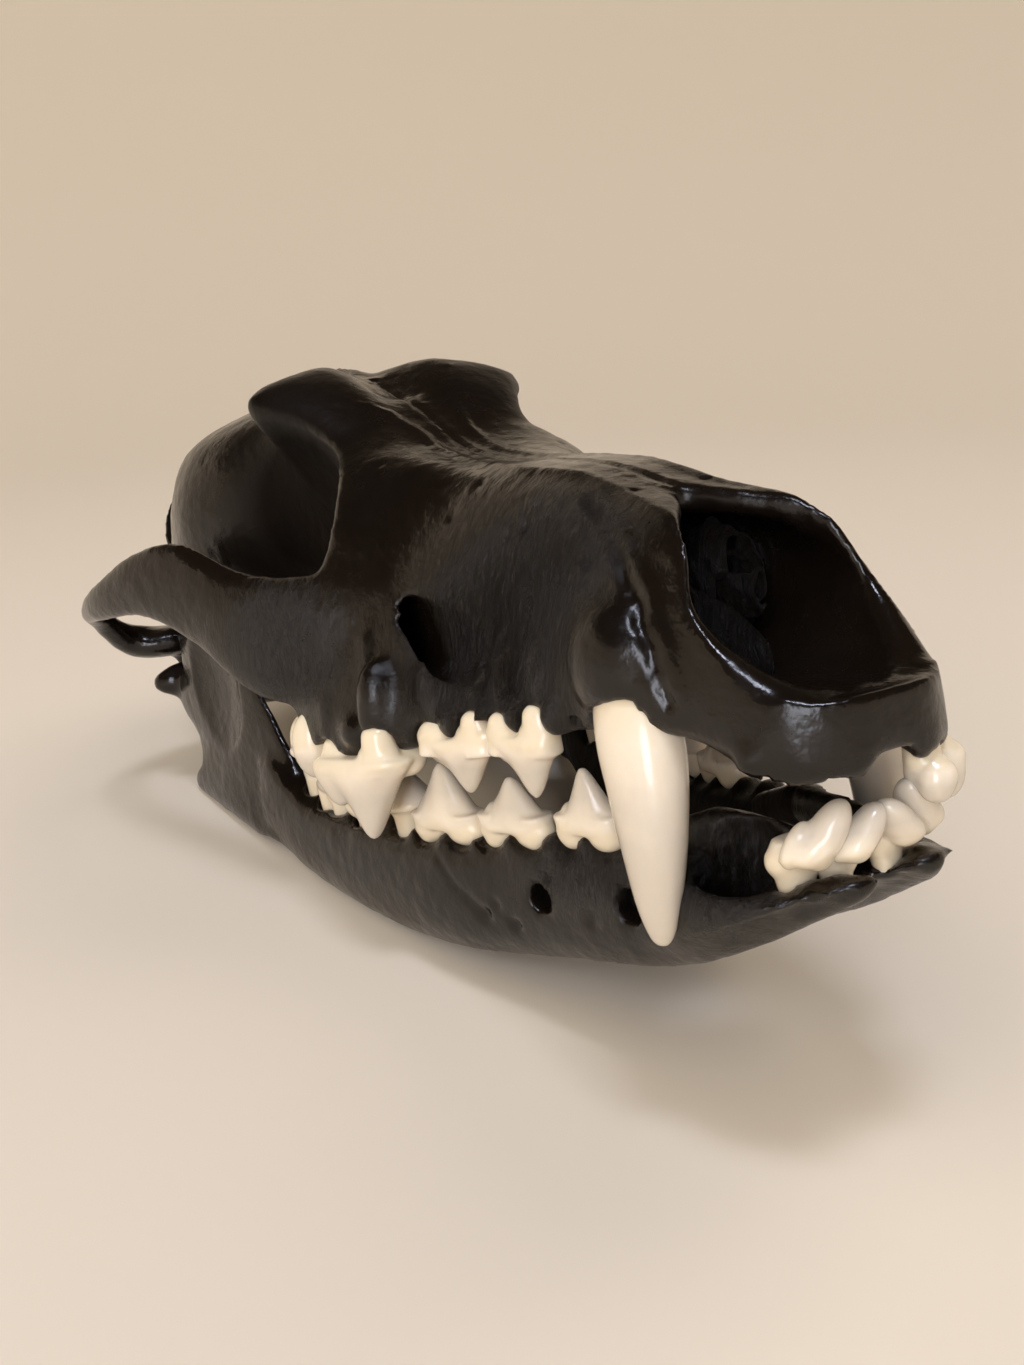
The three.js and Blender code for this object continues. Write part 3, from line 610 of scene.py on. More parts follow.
lowerTeeth = {
    "incisor2": {"at": (3.4, 3.2), "long": 4.2, "wide": 4.2, "rim": -13.6, "neck": -11.6, "turn": 74,
                 "lean": -2.4, "deep": 3.2, "roots": [(3.3, 6.4)],
                 "cusps": [(0.08, 0, 4.3, 1.95), (-0.36, 0, 3.2, 1.1)]},
    "incisor3": {"at": (7.3, 4.8), "long": 5.1, "wide": 4.6, "rim": -14.2, "neck": -11.4, "turn": 58,
                 "lean": -2.6, "deep": 3.4, "roots": [(6.6, 8.4)],
                 "cusps": [(0.14, 0, 5.2, 2.15), (-0.4, 0, 3.6, 1.2)]},
    "premolar2": {"at": (13.2, 36), "long": 9.2, "wide": 4.8, "rim": -13.2, "neck": -11.2, "turn": 14,
                  "flare": 0.6, "roots": [(12.4, 33.1), (14, 39)], "bare": [-13, -13.6],
                  "cusps": [(0.34, 0, 1.8, 2.1)],
                  "edge": [(-0.5, 1.6), (-0.38, 2.8), (-0.26, 2.9), (-0.1, 5), (0.04, 7), (0.14, 6.6),
                           (0.34, 3.6), (0.5, 1.6)]},
    "premolar3": {"at": (16.3, 49.6), "long": 10.8, "wide": 5.2, "rim": -14.6, "neck": -12.2, "turn": 15,
                  "flare": 0.6, "roots": [(15.3, 45.9), (17.3, 53.5)], "bare": [-14.6, -15],
                  "cusps": [(0.34, 0, 1.8, 2.2)],
                  "edge": [(-0.5, 1.6), (-0.4, 2.9), (-0.28, 2.9), (-0.1, 4.6), (0.04, 6.2), (0.14, 5.8),
                           (0.34, 3.2), (0.5, 1.4)]},
    "premolar4": {"at": (20, 62.8), "long": 11.8, "wide": 5.8, "rim": -15.4, "neck": -12.8, "turn": 14,
                  "flare": 0.5, "roots": [(18.9, 58.7), (21.1, 66.9)], "bare": [-15, -15.4],
                  "cusps": [(0.34, 0, 2, 2.4)],
                  "edge": [(-0.5, 1.8), (-0.42, 3.4), (-0.28, 4.2), (-0.12, 6.2), (0.04, 8.2), (0.14, 7.6),
                           (0.34, 4), (0.5, 1.6)]},
    "molar1": {"at": (22.3, 80), "long": 21.5, "wide": 8, "rim": -15, "neck": -11.4, "turn": 8,
               "roots": [(21, 74), (23.2, 85.5)],
               "edge": [(-0.5, 2), (-0.4, 3.4), (-0.28, 3.2), (-0.16, 4.6), (-0.02, 7.6), (0.06, 8.8),
                        (0.14, 6), (0.22, 4.6), (0.32, 4.8), (0.42, 3.4), (0.5, 1.4)],
               "cusps": [(-0.34, 0.2, 3.4, 2.2), (-0.32, -0.22, 3.2, 2.1)]},
    "molar2": {"at": (24.6, 95.6), "long": 9.4, "wide": 6.8, "rim": -13.4, "neck": -11, "turn": 8,
               "roots": [(24.4, 93.4), (25, 97.6)],
               "cusps": [(0.22, 0.16, 3, 2.3), (0.18, -0.18, 2.6, 2), (-0.24, 0.1, 2.4, 2.2)]},
    "molar3": {"at": (26, 102.6), "long": 4.6, "wide": 4.4, "rim": -11.6, "neck": -9.4, "turn": 0,
               "roots": [(26, 102.6)], "cusps": [(0, 0, 2.4, 2)]},
}
lostTeeth = {
    ("upper", 1): ["incisor1"],
    ("upper", -1): ["incisor1", "incisor2", "incisor3", "premolar1"],
    ("lower", 1): ["premolar2"],
    ("lower", -1): [],
}
toothRows = {"upper": upperTeeth, "lower": lowerTeeth}
growth = {"upper": -1, "lower": 1}  # the way along z that the crowns point
toothShape = {
    "profile": [(0, 0.84), (0.12, 1), (0.28, 0.98), (0.5, 0.8), (0.75, 0.53), (0.92, 0.32), (1, 0.14)],
    "rootDepth": 7,
    "tipShort": 0.7,    # mm from the middle of a root's tip to the bone's edge
    "inCrown": 1.4,     # mm that a root goes up into the crown
    "rootSpread": 0.95,
    "incisorTurn": 40,  # degrees, less than any incisor's turn
    "voxel": 0.3,
}
fineBall = ((0, 0, 0), 24, 14)
smallBall = ((0, 0, 0), 16, 10)


def crownHeight(spec):
    edge, cusps = spec.get("edge", []), spec.get("cusps", [])
    return max([height for _, height in edge] + [height for _, _, height, _ in cusps])


# Crown's own [forward, out, height] to the upper jaw's frame
def intoRow(local, spec, side, up):
    forward, out, height = local.T
    angle = -side * math.radians(spec["turn"])
    share = height / crownHeight(spec)
    x = side * (out + spec.get("flare", 0) * np.clip(share, 0, 1))
    y = spec.get("lean", 0) * np.clip(share, 0, 1.2) - forward
    return np.column_stack([
        x * math.cos(angle) - y * math.sin(angle) + side * spec["at"][0],
        x * math.sin(angle) + y * math.cos(angle) + spec["at"][1],
        spec["neck"] + up * height,
    ])


# A root's place along and across the crown, from its place in the jaw
def rootLocal(spec, root):
    angle = math.radians(spec["turn"])
    dx, dy = root[0] - spec["at"][0], root[1] - spec["at"][1]
    return (-(dx * math.sin(angle) + dy * math.cos(angle)), dx * math.cos(angle) - dy * math.sin(angle))


def rootSize(spec):
    split = min(len(spec["roots"]), 2)
    return (min(spec["long"] / split * 0.45, 2.7), min(spec["wide"] * 0.43, 2.7))


def bladeCrown(spec):
    long, wide = spec["long"], spec["wide"]
    edge = smoothLine(*spec["edge"])
    profile = smoothLine(*toothShape["profile"])
    up = np.linspace(0, 1, 14)
    rings = []
    for share in np.linspace(-0.5, 0.5, 34):
        end = math.sqrt(max(0.0, 1 - (2 * share) ** 4))
        half = wide / 2 * (0.16 + 0.84 * end)
        top = float(edge(share)) * (0.4 + 0.6 * end)
        base = -1.0 * end
        outer = np.column_stack([half * profile(up), base + (top - base) * up])
        inner = outer[::-1] * [-1, 1]
        section = np.vstack([outer, inner])
        rings.append(np.column_stack([np.full(len(section), share * long), section]))
    return skinPiece("crown", rings)


# A root in three parts: its stem, a collar under the crown and a rounded tip
def rootPieces(spec, index):
    long, wide = rootSize(spec)
    forward, out = rootLocal(spec, spec["roots"][index])
    depth = spec.get("deep", toothShape["rootDepth"])
    if "bare" in spec:
        depth = abs(spec["bare"][index] - spec["neck"]) - toothShape["tipShort"]
    top, spread = toothShape["inCrown"], toothShape["rootSpread"]
    place = (forward * spread, out * spread)
    stem = rod("root", (0, 0, -depth), (0, 0, top), 0.86, 1.1, 28)
    stem.data.transform(Matrix.Diagonal((long, wide, 1, 1)))
    stem.location = (*place, (top - depth) / 2)
    collar = ball("collar", (forward * 0.86, out * 0.9, -0.9), (long * 1.32, wide, 2.3), *fineBall)
    tip = ball("rootEnd", (*place, -depth), (long * 0.86, wide * 0.86, 1.6), *fineBall)
    return [stem, collar, tip]


def makeTooth(spec, side, up):
    if "edge" in spec:
        pieces = [bladeCrown(spec)]
    else:
        pieces = [ball("base", (0, 0, 0.9), (spec["long"] / 2, spec["wide"] / 2, 2))]
    isIncisor = spec["turn"] > toothShape["incisorTurn"]
    for forward, out, height, girth in spec.get("cusps", []):
        middle, reach = (height * 0.38, height * 0.66) if isIncisor else (0, height)
        place = (forward * spec["long"], out * spec["wide"], middle)
        pieces.append(ball("cusp", place, (girth, girth, reach), *fineBall))
    for index in range(len(spec["roots"])):
        pieces += rootPieces(spec, index)
    made = fuse("tooth", pieces, toothShape["voxel"], smooth=9)
    local = pointsOf(made)
    paintLayer(made, "crown", (local[:, 2] + 0.5) / crownHeight(spec), -0.5)
    setPoints(made, intoRow(local, spec, side, up))
    faceOut(made)
    return made


canineShape = {
    "path": [(14.1, 23.6, 9.2), (14.1, 21.8, 5), (14.8, 19.5, -2), (15.5, 18.8, -9), (15.5, 19.7, -16),
             (15, 21.2, -21.7)],
    "half": smoothLine((0, 1.6), (0.2, 4.4), (0.32, 5.15), (0.45, 4.85), (0.61, 4.05), (0.8, 2.85),
                       (0.9, 2.1), (0.96, 1.45), (0.985, 1), (1, 0.3)),
    "narrow": 0.84,
    "crown": (5, 26),  # mm: z where the crown starts, and its length
}


def upperCanine(side):
    shape = canineShape
    turns = np.linspace(0, 1, 70)
    path = smoothCurve([(side * x, y, z) for x, y, z in shape["path"]], turns)
    along = np.gradient(path, axis=0)
    along /= np.linalg.norm(along, axis=1)[:, None]
    ahead = np.cross(along, [1, 0, 0])
    ahead /= np.linalg.norm(ahead, axis=1)[:, None]
    half = shape["half"](turns)
    angle = angles(40)
    across = half * shape["narrow"]
    rings = [
        path[i] + np.outer(np.cos(angle) * across[i], [1, 0, 0]) + np.outer(np.sin(angle) * half[i], ahead[i])
        for i in range(len(turns))
    ]
    made = skinPiece("canine", rings)
    shadeSmooth(made)
    start, length = shape["crown"]
    paintLayer(made, "crown", (start - pointsOf(made)[:, 2]) / length, -0.5)
    return made


def keptTeeth(jaw, side):
    return [spec for name, spec in toothRows[jaw].items() if name not in lostTeeth[(jaw, side)]]


# Millimetres past the rim or the bare root's margin, and shares of the root's size
socketShape = {
    "above": 7,
    "gap": 0.3,
    "deep": 1.4,
    "bareShort": 1.5,
    "bareOut": {"upper": 1.6, "lower": 2.4},
    "lostDeep": 4.5,
    "lostShare": 0.6,
    "septum": {"gaps": (3.5, 12), "across": 5, "behind": 12, "drop": 0.4,
               "high": {"upper": 2.6, "lower": 1.7}},
    "bulge": {"in": 1.2, "past": 3.6, "wider": 0.7, "high": 5.8},
}


# Cutters that open the bone round each root, wider on its outer side, and the pits of lost teeth
def rootHoles(jaw, side):
    shape, up = socketShape, growth[jaw]
    holes = []
    for name, spec in toothRows[jaw].items():
        long, wide = rootSize(spec)
        rim, lost = spec["rim"], name in lostTeeth[(jaw, side)]
        angle = side * math.radians(-spec["turn"])
        for index, (x, y) in enumerate(spec["roots"]):
            start, end, out = rim + up * shape["above"], rim - up * shape["deep"], 0
            share, reach = 1, shape["gap"]
            if lost:
                end, share, reach = rim - up * shape["lostDeep"], shape["lostShare"], 0
            elif "bare" in spec:
                end, out = spec["bare"][index] + up * shape["bareShort"], shape["bareOut"][jaw]
            size = (wide * share + reach + out, long * share + reach)
            hole = sideRod(side, "hole", (x + out, y, start), (x + out, y, end), 1, 0.97)
            hole.rotation_euler = (0, 0, angle) if end > start else (math.pi, 0, -angle)
            hole.scale = (*size, 1)
            holes.append(hole)
            if out:
                holes.append(ball("holeEnd", (side * (x + out), y, end), (*size, 2), (0, 0, angle), 24, 14))
    return holes


# Points of bone that stand up between the roots
def septa(jaw, side):
    shape = socketShape["septum"]
    least, most = shape["gaps"]
    row = toothRows[jaw].values()
    roots = sorted((y, x, spec["rim"]) for spec in row for x, y in spec["roots"])
    pieces = []
    for (y1, x1, rim1), (y2, x2, rim2) in zip(roots[:-1], roots[1:]):
        gap = math.hypot(x2 - x1, y2 - y1)
        if least <= gap <= most and abs(x2 - x1) <= shape["across"] and y1 >= shape["behind"]:
            middle = ((x1 + x2) / 2, (y1 + y2) / 2, (rim1 + rim2) / 2 - growth[jaw] * shape["drop"])
            pieces.append(sideBall(side, "septum", middle, (2.4, gap * 0.3, shape["high"][jaw]), *smallBall))
    return pieces


# The bulge of bone over each root that shows
def rootBulges(jaw, side):
    shape = socketShape["bulge"]
    pieces = []
    for spec in keptTeeth(jaw, side):
        long, wide = rootSize(spec)
        for (x, y), bare in zip(spec["roots"], spec.get("bare", [])):
            place = (x - shape["in"], y, bare - growth[jaw] * shape["past"])
            radii = (wide + shape["wider"], long, shape["high"])
            pieces.append(sideBall(side, "bulge", place, radii, (0, 0, 0), 20, 14))
    return pieces


def makeTeeth(jaw, side):
    teeth = [makeTooth(spec, side, growth[jaw]) for spec in keptTeeth(jaw, side)]
    return teeth + [upperCanine(side)] if jaw == "upper" else teeth


# Build the cranium

voxels = {"rough": 0.8, "final": 0.62}
mostTriangles = 192000


def sideBones(side):
    return [
        cheekArch(side),
        sideBall(side, "canineRoot", (14.2, 22.5, 8.4), (5, 6.8, 6.6)),
        throatWall(side),
        sideBall(side, "jawJoint", (34.5, 155.5, 14.7), (11, 6.5, 3.1)),
        sideBall(side, "behindJoint", (30, 158.6, 11.5), (5.5, 2, 5)),
        sideBall(side, "bulla", (16.2, 165, 6.6), (8.2, 12, 9), (0.1, 0, 0.25)),
        sideBall(side, "mastoid", (24.5, 171, 16), (5.5, 8, 11)),
        sideRod(side, "besideBulla", (20, 175, 17), (20.8, 177, 1.5), 5, 1.6, squeeze=(0.8, 1)),
        sideBall(side, "neckJoint", (10.4, 181, 15), (5.4, 8, 7.4), (0.35, 0, 0.45)),
    ]


# The back of the head is cut by a block whose front face slopes through that place
backShape = {
    "slope": math.radians(24),
    "place": (0, 180.5, 16),
    "block": (90, 60, 120),
    "crest": [(0, 187.3, 34.5), (27.5, 3, 24)],
}
betweenSockets = [(4, 0.7, -2.5), (7.9, 2.6, -2.4), (11.6, 6.5, -0.9)]


def buildCranium():
    core = fuse("core", [
        symmetricSkin("face", -1.2, 101, 100, 72, faceOutline),
        symmetricSkin("braincase", 70, 198, 90, 84, braincaseOutline),
    ], voxels["rough"], smooth=6)
    tilt = (-backShape["slope"], 0, 0)
    behind = block("behind", backShape["place"], backShape["block"], tilt)
    behind.data.transform(Matrix.Translation((0, 0.5, 0)))
    cutAway(core, [
        *[sideBall(side, "orbit", (37, 100, 31), (24, 24, 22), (0, 0, 0), 64, 40) for side in sides],
        ball("choana", (0, 104, 3.5), (8, 12, 7)),
        behind,
    ])
    say("core")
    skull = fuse("cranium", [
        core,
        topCrest(),
        ball("neckCrest", *backShape["crest"], tilt, 64, 32),
        *[bone for side in sides for bone in sideBones(side)],
    ], voxels["final"], smooth=8)
    say("bones joined")
    sockets = [piece for side in sides for build in (septa, rootBulges) for piece in build("upper", side)]
    sockets += [sideBall(side, "betweenSockets", place, (1.4, 1.5, 1.7), *smallBall)
                for side in sides for place in betweenSockets]
    alveoli = fuse("alveoli", [skull] + sockets, voxels["final"], smooth=3)
    cutAway(alveoli, [
        *noseCutters(),
        *[sideRod(side, "eyeCanal", (20.4, 48, 12), (17.4, 94, 12.8), 1, 1, 28, squeeze=(2.1, 5.6))
          for side in sides],
        ball("neckHole", (0, 182, 22), (8.6, 12, 7)),
        *[sideBall(side, "earHole", (28, 163.5, 12), (6, 3.4, 3.4)) for side in sides],
        *[sideRod(side, "canineHole", (15.6, 18.9, -8), (14.3, 21.9, 4.4), 5.3, 5.1, 40, squeeze=(0.87, 1))
          for side in sides],
        *[hole for side in sides for hole in rootHoles("upper", side)],
        *[sideBall(side, "palateSlot", (3.4, 15, -1.5), (1.5, 4.5, 4.2)) for side in sides],
    ])
    say("openings cut")
    finished = fuse("cranium", [alveoli], voxels["final"], smooth=3)
    x, y, z = pointsOf(finished).T
    part = noseShape["smoothed"]
    atNose = (np.abs(x) < part["half"]) & (y < part["back"]) & (z > part["low"])
    smoothPart(finished, np.flatnonzero(atNose), part["steps"])
    return finished


cranium = buildCranium()
say(f"cranium {trianglesOf(cranium)} triangles")

# Build the lower jaw

jawShape = {
    "middle": smoothLine((0, 4), (6, 6), (16, 8.2), (26, 9.4), (36, 12), (50, 15.5), (63, 19.3), (80, 22.4),
                         (105, 27), (120, 30.5)),
    "rim": smoothLine((0, -13), (8, -14), (16, -13.4), (28, -13.4), (45, -14.6), (65, -15.8), (84, -15),
                      (97, -13.6), (104, -11), (112, -6)),
    "foot": smoothLine((0, -15.5), (4, -17.4), (10, -20.5), (18, -24.3), (28, -27.6), (42, -29.2),
                       (56, -30.8), (68, -31.2), (80, -30.8), (95, -28.8), (106, -26.2), (116, -22.5)),
    "half": smoothLine((0, 4), (8, 6), (16, 6.2), (26, 4), (40, 3.6), (60, 4), (80, 4.6), (104, 4.4),
                       (118, 3)),
    "front": smoothLine((-21, 105), (-18, 103), (-10, 106), (0, 112), (10, 118), (20, 125), (27, 133),
                        (30, 139)),
    "back": smoothLine((-21, 124), (-17.5, 141), (-15, 151), (-12.5, 152), (-9, 147.5), (-4, 146.5),
                       (1, 151), (5, 152), (9, 147), (15, 145.5), (22, 148), (27, 149.5), (30, 147)),
    "plateMiddle": smoothLine((98, 26), (110, 28.6), (125, 31.5), (140, 34), (152, 36.5)),
    "plateHalf": smoothLine((-26, 3), (-16, 2.6), (0, 2.2), (15, 1.6), (29, 1)),
    "around": (44, 56),
    "gap": 0.35,
    "smoothed": {"back": 2.2, "steps": 8},
}


def jawBody(side):
    around = jawShape["around"][0]
    rings = []
    for y in np.linspace(0.5, 116, 110):
        high, low, half, middle = linesAt(jawShape, y, "rim", "foot", "half", "middle")
        section = [[0, high], [0.85, high - 1.2], [1.05, (high + low) / 2], [0.75, low + 2.6], [0.1, low],
                   [-0.6, low + 2], [-1, (high + low) / 2], [-0.85, high - 1.2]]
        rings.append(closedAt(y, [(side * (middle + x * half), z) for x, z in section], around))
    return skinPiece("jawBody", rings)


def jawPlate(side):
    around = jawShape["around"][1]
    rings = []
    angle = angles(around)
    for z in np.linspace(-21, 29.6, 70):
        front, back, half = linesAt(jawShape, z, "front", "back", "plateHalf")
        y = (front + back) / 2 + np.cos(angle) * (back - front) / 2
        x = jawShape["plateMiddle"](y) + np.sin(angle) * half + max(0.0, z) * 0.06
        rings.append(np.column_stack([side * x, y, np.full(around, z)]))
    return skinPiece("jawPlate", rings)


def buildJaw(side):
    name = "mandible_left" if side > 0 else "mandible_right"
    bone = fuse(name, [
        jawBody(side),
        jawPlate(side),
        sideBall(side, "condyle", (33, 151.5, 7), (8.6, 4, 3.6)),
        sideRod(side, "besideCanine", (5.4, 9.5, -11.8), (5.6, 22, -11), 2.5, 2.3),
        sideRod(side, "behindCanine", (5.6, 21, -11.1), (9, 33, -14), 2.3, 1.6),
        *septa("lower", side),
    ], voxels["final"], smooth=6)
    cutAway(bone, [
        sideBall(side, "chewPit", (36.4, 128, 6), (4, 13, 14), (0, 0, -0.16)),
        sideBall(side, "canineMouth", (10.2, 13.9, -11), (5, 6.5, 6.6), (0, 0.85, 0)),
        sideRod(side, "canineSocket", (9.6, 13.4, -10), (8.2, 20, -21.5), 4.4, 2.4),
        sideRod(side, "premolarSocket", (10.6, 27.8, -10), (10.2, 28.4, -18), 1.9, 1.2),
        sideRod(side, "incisorSocket", (1.4, 3.2, -10), (1.4, 5.6, -17.5), 1.1, 0.8),
        sideRod(side, "chinHole", (17.6, 27, -19.2), (10, 31, -20), 2.3, 2),
        sideRod(side, "chinHoleBehind", (21, 42, -20.8), (13.6, 46, -20.8), 2, 1.7),
        *rootHoles("lower", side),
        block("otherHalf", (-side * (30 - jawShape["gap"] / 2), 100, 0), (60, 300, 120)),
    ])
    return fuse(name, [bone], voxels["final"], smooth=2)


jawBones = {side: buildJaw(side) for side in sides}
say(f"jaw bones {[trianglesOf(bone) for bone in jawBones.values()]} triangles")

# Carve the fine forms of the bone

# Lines and places read from the right side. The left side has the same ones, mirrored.
# Ridges: a line, its height and its width. Pits and hollows: a place, its reach and its depth.
carving = {
    "nasalMiddle": [(0, 29, 26), (0, 40, 29.6), (0, 52, 32), (0, 67, 33.8), (0, 82, 38.3),
                    (0, 96, 47.4), (0, 114, 55.3)],
    "nasalSide": [(-8.9, 14.1, 20.3), (-7.3, 22.4, 23.5), (-5.7, 30.7, 26.3), (-5.7, 37.5, 28.6),
                  (-6.4, 42.3, 29.7), (-7, 50.2, 31), (-5.5, 62, 33), (-4, 75.7, 36.1), (-4.2, 87.7, 41.5),
                  (-6, 94.1, 45.8), (-10.6, 97, 47.5)],
    "premaxilla": [(-9.1, 32.3, 25.8), (-9.9, 29.5, 23.9), (-10.3, 27.6, 22.7), (-11.2, 25, 21),
                   (-12.3, 22.3, 18.9), (-13, 19.9, 16.3), (-13.5, 17.9, 14.3), (-14.3, 17, 11.9),
                   (-14.5, 15.4, 9.9), (-14.7, 14.6, 8), (-14.6, 13.5, 4.5)],
    "ridges": [
        ([(-25.5, 69.3, 12.9), (-26.7, 67.5, 7.7), (-27.8, 66, 2.5), (-28.5, 66.6, -2.2)], 0.8, 1.1),
        ([(-15.4, 17.5, 2), (-14.9, 20, 8), (-13.6, 26, 14)], 0.3, 5),
        ([(-23.5, 108.5, 51.5), (-17, 114, 55.5), (-9, 121, 58.5), (-2.5, 130, 60.5)], 0.7, 1.6),
    ],
    "pits": [((-12.4, 42.9, 24.2), 0.9, 0.9), ((-13.3, 28.1, 19.1), 0.9, 0.8), ((-5, 29.3, 26), 0.5, 0.5),
             ((-15.5, 18.5, 11.1), 0.6, 0.5), ((-9.9, 57.4, 31), 0.7, 0.4), ((-15.1, 78.8, 36.4), 0.7, 0.4),
             ((-13.5, 60.1, 27.1), 0.8, 0.4), ((-12.9, 46, 23.6), 0.8, 0.5)],
    "cheekHollow": ((-17.5, 45, 12), (6, 9, 8), 1.6),
    "browHollow": ((0, 104, 55), (5, 14, 10), 1.5),
    "napeHollows": [((-9, 186, 40), (6, 14, 7), 1.1), ((-17, 182, 28), (6, 14, 6), 0.8)],
    "jawPits": [((-20.7, 54.5, -24.2), 1.1, 0.8), ((-18.9, 49.5, -25), 0.9, 0.7),
                ((-17.2, 42.4, -18.1), 0.7, 0.6), ((-20.1, 52.1, -22.5), 0.8, 0.6),
                ((-15.4, 35.3, -22.3), 0.9, 0.4)],
    "jawGroove": ([(-22.5, 62.4, -17.7), (-22.3, 59.2, -20.7), (-21.3, 55.8, -23)], 0.35, 0.6),
    "chinPits": [((-9.5, 4.5, -17), 1.2, 1.1), ((-7, 1, -15), 1, 0.9), ((-12.4, 9.5, -19.4), 0.9, 0.7)],
}


# The points with the left side laid on the right one
def foldedPoints(piece):
    points = pointsOf(piece)
    points[:, 0] = -np.abs(points[:, 0])
    return points


def ridge(points, line, high, wide):
    return high * np.exp(-(farFromLine(points, line) / wide) ** 2)


def hollow(points, place, reach, deep):
    return -deep * softSpot(points, place, reach)


def pitSum(points, pits):
    return sum(hollow(points, place, (reach,) * 3, deep) for place, reach, deep in pits)


def carveCranium(piece):
    points, normals, folded = pointsOf(piece), normalsOf(piece), foldedPoints(piece)
    push = np.zeros(len(points))
    outer = np.clip(normals[:, 2] * 2 + 0.4, 0, 1)
    wander = layeredNoise(points, 3, 5)
    middle = farFromLine(folded, carving["nasalMiddle"])
    push += outer * (0.35 * np.exp(-(middle / 1.3) ** 2) - 0.65 * np.exp(-(middle / 0.6) ** 2))
    beside = farFromLine(folded, carving["nasalSide"])
    push += outer * (0.42 * np.exp(-(beside / 0.9) ** 2))
    ragged = farFromLine(folded + 0.5 * wander[:, None], carving["premaxilla"])
    push -= np.exp(-(ragged / 0.6) ** 2) * (0.35 + 0.35 * softNoise(points, 1.4, 9))
    push += 0.25 * np.exp(-((ragged - 1.5) / 0.8) ** 2)
    push += sum(ridge(folded, *line) for line in carving["ridges"])
    push += pitSum(folded, carving["pits"]) + hollow(folded, *carving["cheekHollow"])
    push += hollow(folded, *carving["browHollow"]) * outer
    nape = np.clip((points[:, 1] - 174) / 4, 0, 1) * np.clip(normals[:, 1] * 2, 0, 1)
    napeRidge = 0.9 * np.exp(-(points[:, 0] / 1.5) ** 2) * np.clip((points[:, 2] - 28) / 6, 0, 1)
    push += nape * (napeRidge + sum(hollow(folded, *spot) for spot in carving["napeHollows"]))
    rough = 0.1 + 0.25 * np.clip((points[:, 1] - 150) / 40, 0, 1)
    push += rough * layeredNoise(points, 9, 2) + 0.05 * softNoise(points, 1.6, 7)
    setPoints(piece, points + normals * push[:, None])


def spotSum(piece, spots):
    folded = foldedPoints(piece)
    return sum(share * softSpot(folded, place, reach) for share, place, reach in spots)


def carveJaw(piece):
    points, normals, folded = pointsOf(piece), normalsOf(piece), foldedPoints(piece)
    push = 0.1 * layeredNoise(points, 8, 3) + 0.05 * softNoise(points, 1.5, 8)
    push += pitSum(folded, carving["jawPits"]) - ridge(folded, *carving["jawGroove"])
    push += pitSum(folded, carving["chinPits"])
    front = np.clip((14 - points[:, 1]) / 10, 0, 1) * np.clip((points[:, 2] + 18) / 3, 0, 1)
    push += front * 0.3 * layeredNoise(points, 2.2, 4) * np.clip((points[:, 1] - 1) / 3, 0, 1)
    setPoints(piece, points + normals * push[:, None])
    part = jawShape["smoothed"]
    smoothPart(piece, np.flatnonzero(points[:, 1] < part["back"]), part["steps"])


# grain: where the brushed paint is wrinkled. bare: painted shade, a matt finish that reflects little, so that
# hollows in shade stay dark.
# Each spot has a share, a place and its reach.
layerSpots = {
    "cranium": {
        "grain": [(1.2, (-18, 46, 12), (8, 12, 11)), (0.8, (-14, 34, 22), (6, 9, 7)),
                  (0.6, (-30, 88, 12), (8, 12, 8))],
        # Painted shade spots: each orbit, the inside of the nose, the palate and the back of the mouth
        "bare": [(2, (-17, 114, 33), (9, 20, 18)), (0.7, (0, 30, 13), (9, 14, 10)),
                 (1.2, (0, 30, -2), (13, 22, 4)), (1.4, (0, 66, -4), (20, 24, 4.5)),
                 (1.2, (0, 100, 4), (22, 16, 9))],
    },
    "jaw": {"grain": [(1, (-9.5, 16, -16), (5, 6, 6)), (0.7, (-15, 36, -16.5), (5, 9, 3.5))]},
}
carveCranium(cranium)
thinOut(cranium, mostTriangles)
for layerName, spots in layerSpots["cranium"].items():
    paintLayer(cranium, layerName, spotSum(cranium, spots))
for side, bone in jawBones.items():
    carveJaw(bone)
    paintLayer(bone, "grain", spotSum(bone, layerSpots["jaw"]["grain"]))
    # Painted shade: the inner face of each jaw bone behind 20 mm gets the matt finish that reflects little,
    # so that the mouth stays dark
    paintLayer(bone, "bare", -1.6 * side * normalsOf(bone)[:, 0] * (pointsOf(bone)[:, 1] > 20))
say("carved")

# The teeth

teethPieces = {
    "upper_teeth": joinPieces("upper_teeth", [tooth for side in sides for tooth in makeTeeth("upper", side)]),
    "lower_teeth_left": joinPieces("lower_teeth_left", makeTeeth("lower", 1)),
    "lower_teeth_right": joinPieces("lower_teeth_right", makeTeeth("lower", -1)),
}
say(f"teeth {[trianglesOf(piece) for piece in teethPieces.values()]} triangles")

# The shells of bone in the nose

# bare: painted shade, half of the matt finish that reflects little, on every shell, so that the inside of the
# nose stays dark
shellShape = {"thick": 0.5, "start": 22, "end": 46, "leaves": 5, "grain": 0.8, "bare": 0.5}
wallShape = {"top": smoothLine((16, 8), (24, 13), (47, 22)), "foot": 4, "start": 16, "end": 47, "half": 0.45}


